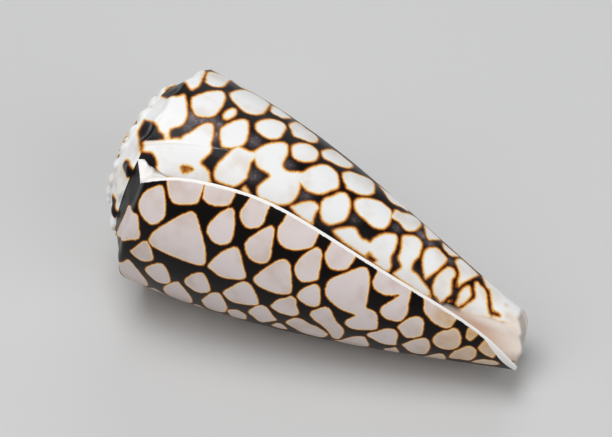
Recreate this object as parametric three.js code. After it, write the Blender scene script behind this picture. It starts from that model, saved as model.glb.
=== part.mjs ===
// A marbled cone shell: one coiled, hollow piece, lying on its side.
// Millimetres, +Z up. The shell is grown upright about its coiling axis, spire up and
// narrow end at height 0, and is then laid down on the side of its body whorl.
import * as THREE from "three";
import { LoftGeometry } from "three/addons/geometries/LoftGeometry.js";
import { mergeGeometries, mergeVertices } from "three/addons/utils/BufferGeometryUtils.js";

// Driving dimensions of the whole shell
const LENGTH = 80; // narrow end to apex, along the coiling axis
const SPIRE_HEIGHT = 10.4; // apex above the shoulder at the lip
const SHOULDER_RADIUS = 23.1; // coiling axis to the shoulder at the lip
const MOUTH_RADIUS = 7.25; // coiling axis to the lip at the narrow end
const END_SLANT = 3.7; // how much further back the narrow end is one whorl earlier
const WALL = 1.8; // thickness of the body whorl
const LIP_WALL = 0.9; // thickness at the edge of the lip
const END_WALL_SHARE = 0.55; // share of the thickness left at the narrow end
const FLAT_DEPTH = 0.5; // depth of the flat that the shell lies on

// How the shell grows. Growth is counted in whorls: 0 at the lip, -1 one whorl earlier.
const SHOULDER_GROWTH = 1.405; // radius after one whorl against before it, at the shoulder
const MOUTH_GROWTH = 3.14; // the same at the narrow end, where the coil opens fastest
const GROWTH_EASE = 3; // power by which the growth eases towards the shoulder
const SIDE_FULLNESS = 1.71; // 1 is a straight cone, more swells the side
const SPIRE_DOME = 1.57; // 1 is a straight spire, more rounds it
const SPIRE_STEP = 0.9; // how much the whorl behind the last one stands up from the dome
const STEP_WHORLS = [1.2, 1.7]; // whorls back from the lip over which that step rises
const STEP_END_WHORLS = [2.1, 3.2]; // and falls again
const FIRST_WHORL = -7.5; // growth where the apex is closed
const MOUTH_DEPTH = 0.9; // whorls from the lip back to the end of the open mouth

// The shoulder: a ramp from the seam with the whorl before, a crest with knobs, a round edge
const CREST_RADIUS = 0.89; // of the shoulder radius
const CREST_DROP = 0.018; // crest below the shoulder height, of the shoulder radius
const EDGE_RADIUS = 0.962;
const EDGE_DROP = 0.044; // edge below the shoulder height, of the shoulder radius
const COVER_DROP = 0.092; // seam of the next whorl below the crest, of the shoulder radius
const KNOBS_PER_WHORL = 20.5; // half a knob over, so knobs of neighbouring whorls alternate
const KNOB_SIZE = 0.022; // of the shoulder radius, on the last whorl
const OLD_KNOB_SIZE = 0.07; // the same on the whorls before it
const OLD_KNOB_WHORLS = [0.8, 1.1]; // whorls back from the lip over which the size changes
const KNOB_RISE = 0.7; // share of a knob's size that stands up from the crest
const KNOB_SHARPNESS = 1.2;
const KNOB_FADE = 0.7; // share of a knob's size lost at the lip
const KNOB_FADE_WHORLS = 0.65;

// The lip edge, in degrees ahead of its end at the seam
const LIP_LEAD = 7.2; // at mid height
const LIP_TREND = 29; // gained from the narrow end to the shoulder
const NOTCH_LAG = 30; // lost again at the shoulder, where the notch is
const NOTCH_SHARPNESS = 6.1;
const END_LAG = 35.7; // lost at the narrow end, where the lip is rounded off
const END_SHARPNESS = 15;
const LIP_DIP = 1.9; // lost in a shallow dip near the top of the lip
const LIP_DIP_AT = 0.83; // the dip's middle, as a share of the way up
const LIP_DIP_WIDTH = 0.12;
const LIP_FADE_WHORLS = 0.195; // how far behind the lip its outline fades out

// How it lies: turned about its axis, then laid down with the spire towards -X
const ROLL_DEG = -47;
const TILT_DEG = 11;

// Facets
const STATIONS_PER_WHORL = 60;
const RAMP_ROWS = 3;
const SIDE_ROWS = 12;

const BODY_HEIGHT = LENGTH - SPIRE_HEIGHT;
const COVER_ROW = RAMP_ROWS + 2; // where the next whorl covers this one
const MOUTH_TOP_ROW = COVER_ROW + 1; // top of the open mouth, a wall lower
const END_ROW = MOUTH_TOP_ROW + SIDE_ROWS; // the narrow end
const MOUTH_STATIONS = Math.round(MOUTH_DEPTH * STATIONS_PER_WHORL);

const { clamp, lerp, smoothstep, degToRad } = THREE.MathUtils;

const shoulderRadius = (growth) => SHOULDER_RADIUS * SHOULDER_GROWTH ** growth;
const endHeight = (growth) => -growth * END_SLANT;

function shoulderHeight(growth) {
  const dome = SPIRE_HEIGHT * (1 - SHOULDER_GROWTH ** (SPIRE_DOME * growth));
  const step = smoothstep(-growth, ...STEP_WHORLS) - smoothstep(-growth, ...STEP_END_WHORLS);
  return BODY_HEIGHT + dome + SPIRE_STEP * step;
}

// Radius of the side at a share of the way up from the narrow end to the shoulder
function sideRadius(growth, up) {
  const atLip = lerp(MOUTH_RADIUS, SHOULDER_RADIUS, 1 - (1 - up) ** SIDE_FULLNESS);
  const perWhorl = lerp(SHOULDER_GROWTH, MOUTH_GROWTH, (1 - up) ** GROWTH_EASE);
  return atLip * perWhorl ** growth;
}

function knob(growth) {
  const wave = 0.5 + 0.5 * Math.cos(2 * Math.PI * KNOBS_PER_WHORL * growth);
  const fade = 1 - KNOB_FADE * clamp(1 + growth / KNOB_FADE_WHORLS, 0, 1);
  const size = lerp(KNOB_SIZE, OLD_KNOB_SIZE, smoothstep(-growth, ...OLD_KNOB_WHORLS));
  return size * shoulderRadius(growth) * fade * wave ** KNOB_SHARPNESS;
}

// Degrees that the lip edge leads at a share of the way up the side
function lipLead(up) {
  const notch = NOTCH_LAG * up ** NOTCH_SHARPNESS;
  const end = END_LAG * (1 - up) ** END_SHARPNESS;
  const dip = LIP_DIP * Math.exp(-(((up - LIP_DIP_AT) / LIP_DIP_WIDTH) ** 2));
  return LIP_LEAD + LIP_TREND * (up - 0.5) - notch - end - dip;
}

// The point of a growth line at a radius, a height and a lead of the lip edge
function place(growth, radius, height, lead) {
  const nearLip = smoothstep(growth, -LIP_FADE_WHORLS, 0);
  const angle = 2 * Math.PI * growth + degToRad(lead * nearLip);
  return new THREE.Vector3(radius * Math.cos(angle), radius * Math.sin(angle), height);
}

const coverHeight = (growth) => shoulderHeight(growth) - COVER_DROP * shoulderRadius(growth);

function sidePoint(growth, height) {
  const up = height / shoulderHeight(growth);
  return place(growth, sideRadius(growth, up), height, lipLead(up));
}

// The seam with the whorl before, where a growth line starts
function seamPoint(growth) {
  const before = growth - 1;
  if (before < FIRST_WHORL) {
    return new THREE.Vector3(0, 0, LENGTH);
  }
  return sidePoint(before, coverHeight(before));
}

// Height of a row of the side, from the top of the mouth down to the narrow end
function sideHeight(growth, row) {
  const down = (row - MOUTH_TOP_ROW) / SIDE_ROWS;
  return lerp(coverHeight(growth) - WALL, endHeight(growth), down);
}

// One growth line of the outside, from the seam over the shoulder to the narrow end
function outerLine(growth) {
  const radius = shoulderRadius(growth);
  const height = shoulderHeight(growth);
  const bump = knob(growth);
  const crestHeight = height - CREST_DROP * radius + KNOB_RISE * bump;
  const edgeHeight = height - EDGE_DROP * radius;
  const seam = seamPoint(growth);
  const seamRadius = Math.hypot(seam.x, seam.y);
  const points = [seam];
  for (let row = 1; row <= RAMP_ROWS; row += 1) {
    const along = row / RAMP_ROWS;
    const rampRadius = lerp(seamRadius, CREST_RADIUS * radius, along);
    const rampHeight = lerp(seam.z, crestHeight, along);
    points.push(place(growth, rampRadius, rampHeight, lipLead(1) * along));
  }
  const edgeLead = lipLead(edgeHeight / height);
  points.push(place(growth, EDGE_RADIUS * radius + bump, edgeHeight, edgeLead));
  points.push(sidePoint(growth, coverHeight(growth)));
  for (let row = MOUTH_TOP_ROW; row <= END_ROW; row += 1) {
    points.push(sidePoint(growth, sideHeight(growth, row)));
  }
  return points;
}

// The same line inside the mouth: a vault under the ramp, then the inner face of the wall
function innerLine(growth) {
  const wall = lerp(WALL, LIP_WALL, smoothstep(growth, -LIP_FADE_WHORLS, 0));
  const innerRadius = (up) => sideRadius(growth, up) - wall * lerp(END_WALL_SHARE, 1, up);
  const before = sidePoint(growth - 1, sideHeight(growth - 1, MOUTH_TOP_ROW));
  const topHeight = sideHeight(growth, MOUTH_TOP_ROW);
  const vault = new THREE.QuadraticBezierCurve(
    new THREE.Vector2(Math.hypot(before.x, before.y), before.z),
    new THREE.Vector2(innerRadius(1), shoulderHeight(growth) - wall),
    new THREE.Vector2(innerRadius(topHeight / shoulderHeight(growth)), topHeight),
  );
  const points = vault.getPoints(MOUTH_TOP_ROW).map((point, row) => {
    const lead = lipLead(1) * clamp(row / RAMP_ROWS, 0, 1);
    return place(growth, point.x, point.y, lead);
  });
  for (let row = MOUTH_TOP_ROW; row <= END_ROW; row += 1) {
    const height = sideHeight(growth, row);
    const up = height / shoulderHeight(growth);
    points[row] = place(growth, innerRadius(up), height, lipLead(up));
  }
  points[0] = before;
  return points;
}

// Growth at each station, from the first whorl to the lip
function stations(first, last) {
  const count = Math.round((last - first) * STATIONS_PER_WHORL);
  return Array.from({ length: count + 1 }, (unused, step) => last - (count - step) / STATIONS_PER_WHORL);
}

const rows = (lines, first, last) => lines.map((line) => line.slice(first, last + 1));

function sheet(sections) {
  return new LoftGeometry(sections, { closed: false, capStart: false, capEnd: false });
}

// The narrow end: the loop of outer and inner edges, filled in
function narrowEnd(loop) {
  const outline = loop.map((point) => new THREE.Vector2(point.x, point.y));
  const faces = THREE.ShapeUtils.triangulateShape(outline, []);
  const geometry = new THREE.BufferGeometry().setFromPoints(loop);
  geometry.setIndex(faces.flatMap(([first, second, third]) => [first, third, second]));
  return geometry;
}

// Joins the sheets at their shared edges and drops the triangles that closed up there
function weld(sheets) {
  sheets.forEach((geometry) => {
    geometry.deleteAttribute("normal");
    geometry.deleteAttribute("uv");
  });
  const welded = mergeVertices(mergeGeometries(sheets), 1e-4);
  const index = Array.from(welded.index.array);
  const kept = [];
  for (let start = 0; start < index.length; start += 3) {
    const corners = index.slice(start, start + 3);
    if (new Set(corners).size === 3) {
      kept.push(...corners);
    }
  }
  welded.setIndex(kept);
  return welded;
}

function shellGeometry() {
  const apex = seamPoint(FIRST_WHORL);
  const spire = stations(FIRST_WHORL, 0).map(outerLine);
  spire[0] = spire[0].map((point, row) => (row < COVER_ROW ? apex : point));
  const body = stations(-1 - MOUTH_DEPTH, 0).map(outerLine);
  const inside = stations(-MOUTH_DEPTH, 0).map(innerLine).reverse();
  const lip = [body[body.length - 1], inside[0]];
  const deepest = inside[inside.length - 1];
  const ring = [...body, ...inside, body[0]];
  const openBody = body.slice(MOUTH_STATIONS);
  const mouthTop = deepest.map(() => deepest[0]);
  return weld([
    sheet(rows(spire, 0, COVER_ROW)),
    sheet(rows(openBody, COVER_ROW, MOUTH_TOP_ROW)),
    sheet(rows(ring, MOUTH_TOP_ROW, END_ROW)),
    sheet(rows(lip, 0, MOUTH_TOP_ROW)),
    sheet(rows(inside, 0, MOUTH_TOP_ROW)),
    sheet(rows([deepest, mouthTop], 0, MOUTH_TOP_ROW)),
    narrowEnd([...body, ...inside].map((line) => line[END_ROW])),
  ]);
}

// Lays the shell down and flattens the side that it rests on
function layDown(geometry) {
  geometry.rotateZ(degToRad(ROLL_DEG));
  geometry.rotateY(degToRad(TILT_DEG - 90));
  geometry.computeBoundingBox();
  const floor = geometry.boundingBox.min.z + FLAT_DEPTH;
  const position = geometry.attributes.position;
  for (let corner = 0; corner < position.count; corner += 1) {
    position.setZ(corner, Math.max(position.getZ(corner), floor));
  }
  geometry.computeBoundingBox();
  geometry.computeVertexNormals();
  return geometry;
}

const geometry = layDown(shellGeometry());
const material = new THREE.MeshStandardMaterial({ color: 0xd9cfc8, roughness: 0.35, metalness: 0 });
const shell = new THREE.Mesh(geometry, material);
shell.name = "shell";

// The origin is under the middle of the shell, on the surface that it lies on
const middle = geometry.boundingBox.getCenter(new THREE.Vector3());
shell.position.set(-middle.x, -middle.y, -geometry.boundingBox.min.z);

const coneShell = new THREE.Group();
coneShell.add(shell);

export default coneShell;
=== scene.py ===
"""A marbled cone shell on a pale floor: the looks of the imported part, in metres."""

import math

import bpy
import numpy as np
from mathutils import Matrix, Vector
from mathutils.bvhtree import BVHTree
from mathutils.geometry import barycentric_transform


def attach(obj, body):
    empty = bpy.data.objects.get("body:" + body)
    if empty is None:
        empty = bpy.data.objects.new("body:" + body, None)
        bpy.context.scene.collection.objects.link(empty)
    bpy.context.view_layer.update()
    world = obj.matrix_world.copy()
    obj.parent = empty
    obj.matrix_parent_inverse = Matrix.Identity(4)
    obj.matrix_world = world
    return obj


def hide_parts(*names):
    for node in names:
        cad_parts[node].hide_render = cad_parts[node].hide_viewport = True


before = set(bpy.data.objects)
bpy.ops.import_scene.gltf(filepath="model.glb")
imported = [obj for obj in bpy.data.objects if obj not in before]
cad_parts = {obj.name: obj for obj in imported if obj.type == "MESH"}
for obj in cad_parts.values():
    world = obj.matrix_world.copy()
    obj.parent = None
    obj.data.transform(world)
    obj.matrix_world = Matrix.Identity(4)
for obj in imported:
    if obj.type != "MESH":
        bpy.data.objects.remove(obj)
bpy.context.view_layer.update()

MM = 0.001
FULL_TURN = 2.0 * math.pi
TINY = 1e-12

# The shell's own sizes, in millimetres, as in the part's source
LENGTH = 80.0
SPIRE_HEIGHT = 10.4
BODY_HEIGHT = LENGTH - SPIRE_HEIGHT
SHOULDER_RADIUS = 23.1
MOUTH_RADIUS = 7.25
END_SLANT = 3.7
END_RISE = 1.2
END_RISE_AT = -0.72
END_RISE_WIDTH = 0.13
COLUMELLA_REACH = 1.8
COLUMELLA_START = 0.84
WALL = 1.8
LIP_WALL = 0.62
END_WALL_SHARE = 0.55
CORE_END_HEIGHT = 4.0
FLAT_DEPTH = 0.5

# Growth, counted in whorls: 0 at the lip, -1 one whorl earlier
SHOULDER_GROWTH = 1.405
MOUTH_GROWTH = 3.14
GROWTH_EASE = 3.0
SIDE_FULLNESS = 1.71
SPIRE_DOME = 1.57
SPIRE_STEP = 0.9
STEP_TURNS = (1.2, 1.7)
STEP_END_TURNS = (2.1, 3.2)
FIRST_WHORL = -8.5
MOUTH_DEPTH = 0.9

# The shoulder, as shares of its radius
CREST_RADIUS = 0.89
CREST_DROP = 0.018
COVER_DROP = 0.092
KNOBS_PER_WHORL = 20.5
KNOB_SIZE = 0.022
OLD_KNOB_SIZE = 0.07
OLD_KNOB_TURNS = (0.8, 1.1)
KNOB_RISE = 0.7
KNOB_SHARPNESS = 1.2
KNOB_FADE = 0.7
KNOB_FADE_WHORLS = 0.65

# The rounded edge between crest and side: how far its two inner handles stand off,
# in shares of the radius and of the knob
EDGE_OUT = 0.02
EDGE_DROP = 0.01
EDGE_RISE = 0.035
EDGE_KNOB_SHARES = (0.8, 1.1)

# The lip edge, in degrees ahead of its end at the seam
LIP_LEAD = 7.2
LIP_TREND = 29.0
NOTCH_LAG = 30.0
NOTCH_SHARPNESS = 6.1
END_LAG = 35.7
END_SHARPNESS = 15.0
LIP_DIP = 1.9
LIP_DIP_AT = 0.83
LIP_DIP_WIDTH = 0.12
LIP_FADE_WHORLS = 0.195

# Part of the mouth's vault over which its leading edge turns into that of the lip
VAULT_BLEND = (0.6, 1.0)

# How it lies
ROLL = math.radians(-47.0)
TILT = math.radians(11.0)

# Mesh rows and stations
RAMP_ROWS = 7
EDGE_ROWS = 6
LIP_ROWS = 6
SIDE_ROWS = 112
COVER_ROW = RAMP_ROWS + EDGE_ROWS
MOUTH_TOP_ROW = COVER_ROW + LIP_ROWS
END_ROW = MOUTH_TOP_ROW + SIDE_ROWS
STATIONS_PER_WHORL = 300
INSIDE_STATIONS = 60
MERGE_DISTANCE = 2e-6

# The sheets that carry markings
OUTSIDE = ("spire", "body", "hidden")

# The camera: a long lens at the photograph's viewing angle, in a frame of 612 by 437 pixels
FRAME_WIDTH = 612
FRAME_HEIGHT = 437
CAMERA_AZIMUTH = math.radians(25.7)
CAMERA_ELEVATION = math.radians(43.42)
CAMERA_DISTANCE = 0.5
CAMERA_TARGET = Vector((-0.00348, 0.00122, 0.01976))
CAMERA_BACK = Vector((
    math.sin(CAMERA_AZIMUTH) * math.cos(CAMERA_ELEVATION),
    -math.cos(CAMERA_AZIMUTH) * math.cos(CAMERA_ELEVATION),
    math.sin(CAMERA_ELEVATION),
))
CAMERA_PLACE = CAMERA_TARGET + CAMERA_BACK * CAMERA_DISTANCE
CAMERA_TURN = CAMERA_BACK.to_track_quat("Z", "Y")
SENSOR = 36.0
FOCAL_PIXELS = 2892.0
PIXELS_PER_MM = 5.8

# How far the patches' edge colours reach, and where the field of distances stops, in millimetres
CLEAR = 3.0
KEEP_APART = 1.4
FIELD_GROUPS = 6

# The two stretches of whorl that the photograph shows: their turns, the pixel that searches go to,
# and the direction of their outer edge
LIP_TURNS = (-0.5, 0.2)
LIP_MIDDLE = (300, 270)
LIP_OUTWARDS = (-0.22, 0.97)
BODY_TURNS = (-1.4, -0.5)
BODY_MIDDLE = (300, 190)
BODY_OUTWARDS = (0.64, -0.77)
SEARCH_PIXELS = 10.0
SEARCH_STEP = 0.5

# A patch within this many pixels of the shell's edge in the photograph runs on round it, in millimetres
EDGE_PIXELS = 5.0
RUN_ON = 1.8
NARROW_END = 510
END_RUN_ON = 3.6

# Patches that run on under the lip's white edge where they come this near it, in millimetres
AT_LIP = (
    "notch_right", "third_along", "lip_fourth", "lip_fifth", "lip_sixth", "double_patch", "stained",
    "end_upper", "end_last",
)
LIP_TOUCH = 1.7
LIP_RUN_ON = 1.8

# The white pad that closes the notch: its end on the lip, its depth at the whorl before, and where it fades
PAD_END = (168, 177)
PAD_SINK = 0.15
PAD_FADE = (0.75, 1.0)

# The fold of the inner glaze at the narrow end: whorls back from its edge, then share of the way down
FOLD_TURNS = (0.04, 0.3)
FOLD_DROP_TURNS = (0.0, 0.14)
FOLD_ROWS = (0.5, 0.92)
FOLD_SHARE = 0.97

# Patches that the photograph doesn't show: the seed, their size at the shoulder and the black between them
SEED = 5
TENT_SIZE = 7.6
SMALLEST_TENT = 0.35
TENT_SPREAD = 1.15
TENT_GAP = 0.9
TENT_ROUNDING = 1.6
TENT_LEAN = 0.35
TENT_JITTER = (0.9, 1.12)
DARTS = 3000
DART_MARGIN = 0.12
DART_SPACING = 0.74
FAR_TURNS = (-0.98, -0.02)
TENT_SHAPE = [
    (-0.46, -0.56), (-0.52, 0.0), (-0.46, 0.58), (-0.16, 0.62), (0.26, 0.36), (0.54, 0.06), (0.46, -0.14),
    (0.18, -0.42), (-0.18, -0.62),
]

# Where the photograph's view ends: how squarely a place still faces it,
# and millimetres for each unit past that
FACING_LIMIT = 0.1
MM_PER_FACING = 9.0

# The spire's patches and dark squares: heights as shares of the ramp, half widths as shares of a knob's room
SPIRE_PATCH = [
    (-0.8, -0.9), (0.0, -1.05), (0.8, -0.9), (1.0, 0.0), (0.75, 0.9), (0.0, 1.05), (-0.75, 0.9),
    (-1.0, 0.0),
]
SPIRE_JITTER = (0.85, 1.1)
SEAM_LINE = -0.05
NEAR_LIP = -0.42
OLDEST_SEEN = -3.05
SQUARE_HEIGHT = 0.4
SQUARE_WIDTH = 0.18
TRACED_SQUARE_WIDTH = 0.22
SQUARE_FACING = -0.4
SEAM_PATCH_HEIGHT = 0.42
SEAM_PATCH_WIDTH = 0.36
KNOB_PATCH_START = 0.5
KNOB_PATCH_GAP = 0.1
KNOB_PATCH_REACH = 0.06
KNOB_PATCH_WIDTH = 0.38
WHITE_DEPTH = -0.8
PLACE_PIXELS = 3.0
STRIP_TURNS = -0.5

# White patches on the last half whorl, up to the lip: points on each outline, in the photograph's pixels
LIP_PATCHES = {
    "notch_left": [(162, 184.5), (165.5, 196), (166.3, 211), (163, 220), (153, 225.5), (145, 221),
        (139.5, 213), (138, 204), (141, 196), (147, 189.5)],
    "notch_right": [(165, 181.5), (167.5, 192), (170.5, 200.5), (175, 204.5), (186, 205.2),
        (195.5, 204.5), (199.5, 201), (200.6, 192), (200.8, 185.5)],
    "third_along": [(204, 187.5), (202.3, 196), (204.5, 201.5), (210, 205), (218, 206.8), (226, 206.2),
        (231, 204), (232.8, 199), (233.7, 193.5)],
    "shoulder_high": [(129.3, 204.5), (134, 212), (138.2, 216), (139.5, 226), (140.5, 236),
        (137.5, 240.2), (129, 240.6), (120, 237.5), (117, 232), (119, 226), (122, 220), (125.5, 212)],
    "big_tent": [(190.5, 210.6), (195.5, 213), (198.5, 219.5), (203, 236), (206, 249), (206.6, 258),
        (204.5, 265.5), (197, 265.3), (183, 261), (170, 255.7), (153.5, 247.5), (148, 240), (155, 229.5),
        (170, 220.7), (180, 214.8)],
    "middle_tent": [(231, 207.2), (234, 209), (235.4, 216), (235.2, 226), (233.5, 237), (230, 243.3),
        (222, 245.8), (214, 243.3), (208.5, 237), (206.3, 230), (209, 222.5), (215, 216.5), (222, 210.5)],
    "under_shoulder": [(144, 240), (149, 243), (154, 257), (151, 261.5), (141, 261), (130, 252),
        (133, 248)],
    "knob_low": [(117, 257), (122, 262), (130, 260), (147, 281), (145, 284.5), (131, 280), (121, 271)],
    "pebble_a": [(147, 266), (160, 262.5), (167, 269), (171, 279), (168, 284), (157, 282), (145, 271)],
    "pebble_b": [(163, 287), (174, 281.5), (180, 283), (192, 298), (190, 301.5), (178, 299.5), (167, 293)],
    "pebble_c": [(145, 288), (153, 285.5), (163, 292), (172, 300), (160, 298)],
    "pebble_d": [(184, 280), (191, 274), (202, 272), (208, 280), (211, 290), (206, 293), (197, 292.5),
        (186, 285)],
    "lip_fourth": [(250, 199.8), (244.5, 204.5), (240.5, 210), (239.3, 215.5), (241.5, 223), (246, 228),
        (252, 229.2), (259, 227.5), (264.5, 223), (266.8, 215), (268, 208), (260, 203)],
    "leaning_tent": [(272, 224.8), (266, 226.7), (257, 232), (249.5, 236.8), (245.3, 241.3), (244.2, 246),
        (246, 254.5), (250.5, 260), (256.5, 263.2), (262, 264.2), (268, 262.3), (271.3, 257),
        (272.8, 246), (274.5, 235), (275.2, 228.5)],
    "lip_fifth": [(288, 217.3), (281, 222.7), (277.5, 227.5), (276.5, 233.5), (277.5, 240.5),
        (281, 245.5), (287, 249.3), (294, 251), (302, 250.4), (309, 249), (314, 246), (316.2, 239),
        (317, 231.5), (308, 226)],
    "wide_tent": [(236, 245.8), (239.5, 249), (242, 257), (244.2, 267), (246.3, 275), (244.5, 279.5),
        (237, 280), (227, 279), (219, 276.5), (212, 271.3), (206.8, 266.5), (211, 260.5), (217, 254.8),
        (224, 250), (230, 247.6)],
    "belly_tent": [(283, 258.3), (288.5, 260.8), (291.3, 266.5), (292.2, 277), (292.5, 287), (291, 293.5),
        (284, 295), (275, 293.6), (266, 290.6), (258, 286.3), (252.2, 279.3), (257, 273.8), (264, 268),
        (272, 263), (278, 259.5)],
    "belly_right": [(317, 246.5), (321.5, 249.5), (322.7, 256), (321.5, 264), (320, 273), (318, 280),
        (310, 282.3), (302.5, 282.8), (297.5, 279), (294.5, 273), (293.6, 268.5), (296, 262),
        (302, 255.3), (309.5, 250)],
    "low_left": [(245, 281), (250.5, 284), (255.3, 291), (258.5, 299), (259, 304.5), (253, 305.6),
        (244, 304.8), (235, 303), (228, 299.5), (222.3, 293), (225.5, 289), (232, 285.8), (238.5, 282.3)],
    "low_far_left": [(213.5, 292), (219, 292.7), (222.8, 297), (226, 303), (228, 308.5), (224, 310.3),
        (215, 309.3), (207, 306), (201.2, 301), (203, 297.8), (208, 294.2)],
    "rim_a": [(190, 303), (196, 302.3), (201.5, 305), (206.5, 308.7), (199, 308.8), (192.5, 306)],
    "rim_b": [(227, 310.2), (232, 309.2), (238, 309.8), (243, 312.5), (247, 316), (245.5, 317.8),
        (239, 317), (231, 314.5)],
    "low_middle": [(261, 304.7), (266, 306.3), (270.5, 311.3), (274.5, 316.8), (277.3, 320.3),
        (271, 321.5), (261, 320), (252.5, 316.2), (247.6, 312), (251, 308.2), (256, 305.6)],
    "low_right": [(291.5, 295.3), (295.5, 298), (297.4, 301), (297, 305), (299.3, 311), (299, 315),
        (293, 316.3), (285, 314.8), (277, 311.8), (270, 306.3), (273, 302.3), (278.5, 298.6),
        (285, 297.5)],
    "rim_c": [(271, 322.8), (277, 322.7), (283, 324.5), (288, 327.3), (281, 327), (274.5, 325)],
    "rim_d": [(297, 317.3), (304, 320), (310, 323.8), (317, 326.5), (324, 330.7), (328.3, 334.7),
        (322, 336), (312, 333.8), (302, 330.5), (293, 327.5), (285.2, 322.5), (290, 318.8)],
    "lip_sixth": [(334.7, 241), (329, 246.3), (325.7, 250.5), (324, 256), (325.5, 262), (329, 268),
        (335, 270.8), (342, 270.7), (349, 268.3), (353.3, 263), (355.3, 257), (356, 253.5), (346, 246.8)],
    "great_patch": [(362.5, 266.2), (368, 268.5), (370.2, 276), (370.5, 284), (369, 293), (367.7, 301),
        (367, 307.5), (371.5, 309.3), (376.5, 312.5), (378.3, 318.5), (377.8, 328.5), (372, 330.3),
        (360, 330.2), (351.5, 329), (344.3, 323.7), (346.8, 319), (354.5, 315.6), (350, 313.6),
        (341, 310), (333, 304.3), (326.5, 297.8), (324.5, 291), (326, 283.5), (330, 278.5), (338, 275),
        (347, 271.5), (356, 267.8)],
    "small_square": [(316.5, 283.3), (319.5, 286.3), (321, 292), (320.8, 300), (319.8, 305.5),
        (316, 307.3), (309, 306.5), (303, 303.2), (298, 299.3), (296.3, 295.5), (299, 290.8),
        (305, 286.8), (311.5, 284)],
    "slanted": [(324.5, 306.2), (329, 307.7), (332.3, 312), (336.5, 320.8), (341, 325.7), (344.5, 330),
        (343, 335.7), (339, 337.4), (333, 336), (328.3, 332.5), (323, 326.8), (315.5, 321.5),
        (309.6, 315.3), (311, 311), (317, 308.5)],
    "rim_e": [(330, 337.3), (338, 338.6), (346, 337.9), (354, 336.2), (361, 335.9), (366, 338),
        (370, 344), (362, 345.5), (350, 343.5), (338, 340.3)],
    "rim_f": [(366, 335), (370, 332.3), (376, 331.2), (382, 329), (388, 327.9), (393.5, 328.7),
        (397.3, 331.8), (398.7, 336), (397, 341.5), (396.5, 345), (389, 345), (381, 343.3), (373, 339.5)],
    "double_patch": [(377.5, 271.5), (374.5, 275), (372.5, 280), (372.2, 285), (374.5, 289.5),
        (379, 293.3), (386, 295.8), (393, 295.9), (398.7, 295.2), (392, 299.7), (385.5, 303.3),
        (381, 307), (379.5, 311.3), (381.5, 315.5), (387, 319.8), (394, 321.6), (400, 321.8),
        (405, 318.3), (408.6, 312), (409.3, 304), (407.7, 297.5), (406, 291), (396, 283.5), (386, 277)],
    "narrow_square": [(416, 315.7), (421.8, 317.2), (424.4, 321.5), (424.3, 328), (422.7, 335),
        (417, 337.8), (407, 338.2), (402.5, 335), (399, 330.5), (396.8, 327), (401, 322.8), (408, 318)],
    "stained": [(412.8, 290.5), (415, 297.5), (418.8, 303.8), (423, 310), (426, 315.3), (430.5, 320.5),
        (435, 324.5), (441, 327.3), (447, 328.9), (452, 326.5), (455, 322.5), (456.7, 318.3),
        (449, 311.5), (436, 303.5), (424, 297)],
    "narrow_round": [(432, 338.8), (435.5, 334.3), (441, 331), (448, 329.2), (453, 327.7), (457.5, 328.3),
        (460.5, 333), (461.9, 339.5), (460, 345.5), (455, 349), (448.5, 350), (441.5, 348.9),
        (435.5, 345.7), (432.3, 342)],
    "narrow_low": [(401.5, 344.3), (406, 342.3), (413, 339.5), (420, 337.8), (426, 337.7), (429.5, 341),
        (430.7, 347.5), (427, 352.3), (420.5, 352.8), (412.5, 351.3), (405, 348)],
    "rim_g": [(384, 347), (390, 346.3), (396, 347), (400, 351), (399, 354), (392, 352.8), (386, 350.5)],
    "rim_h": [(422.5, 356), (430, 353.7), (438, 353.3), (444, 354.3), (446.8, 358), (442, 359.5),
        (433, 358.6)],
    "rim_i": [(403, 355), (409, 353.6), (416, 354), (420, 356), (414, 357.6), (406, 357)],
    "end_low": [(449, 355.3), (452.5, 351.8), (459, 348.8), (465, 346.3), (470.5, 345.5), (475, 348),
        (477.2, 352.5), (475, 357.5), (470, 359.3), (461, 358), (453, 357.3)],
    "end_upper": [(467.3, 325.8), (465.4, 330.5), (465.2, 335.5), (467.3, 340), (471, 341.3),
        (476, 340.8), (479.5, 338), (482.3, 335.8), (475, 330.8)],
    "end_last": [(487.3, 340.2), (483.5, 342.8), (479.5, 345), (477.2, 347.8), (480, 351.5),
        (484.5, 354.7), (489.5, 357.3), (494, 357.8), (498, 354), (500.3, 352.3), (494, 346)],
    "rim_j": [(471, 360.6), (480, 359.2), (490, 359.8), (497, 361.3), (500.7, 363.6), (494, 364.4),
        (485, 363.2), (477, 362)],
}

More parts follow.
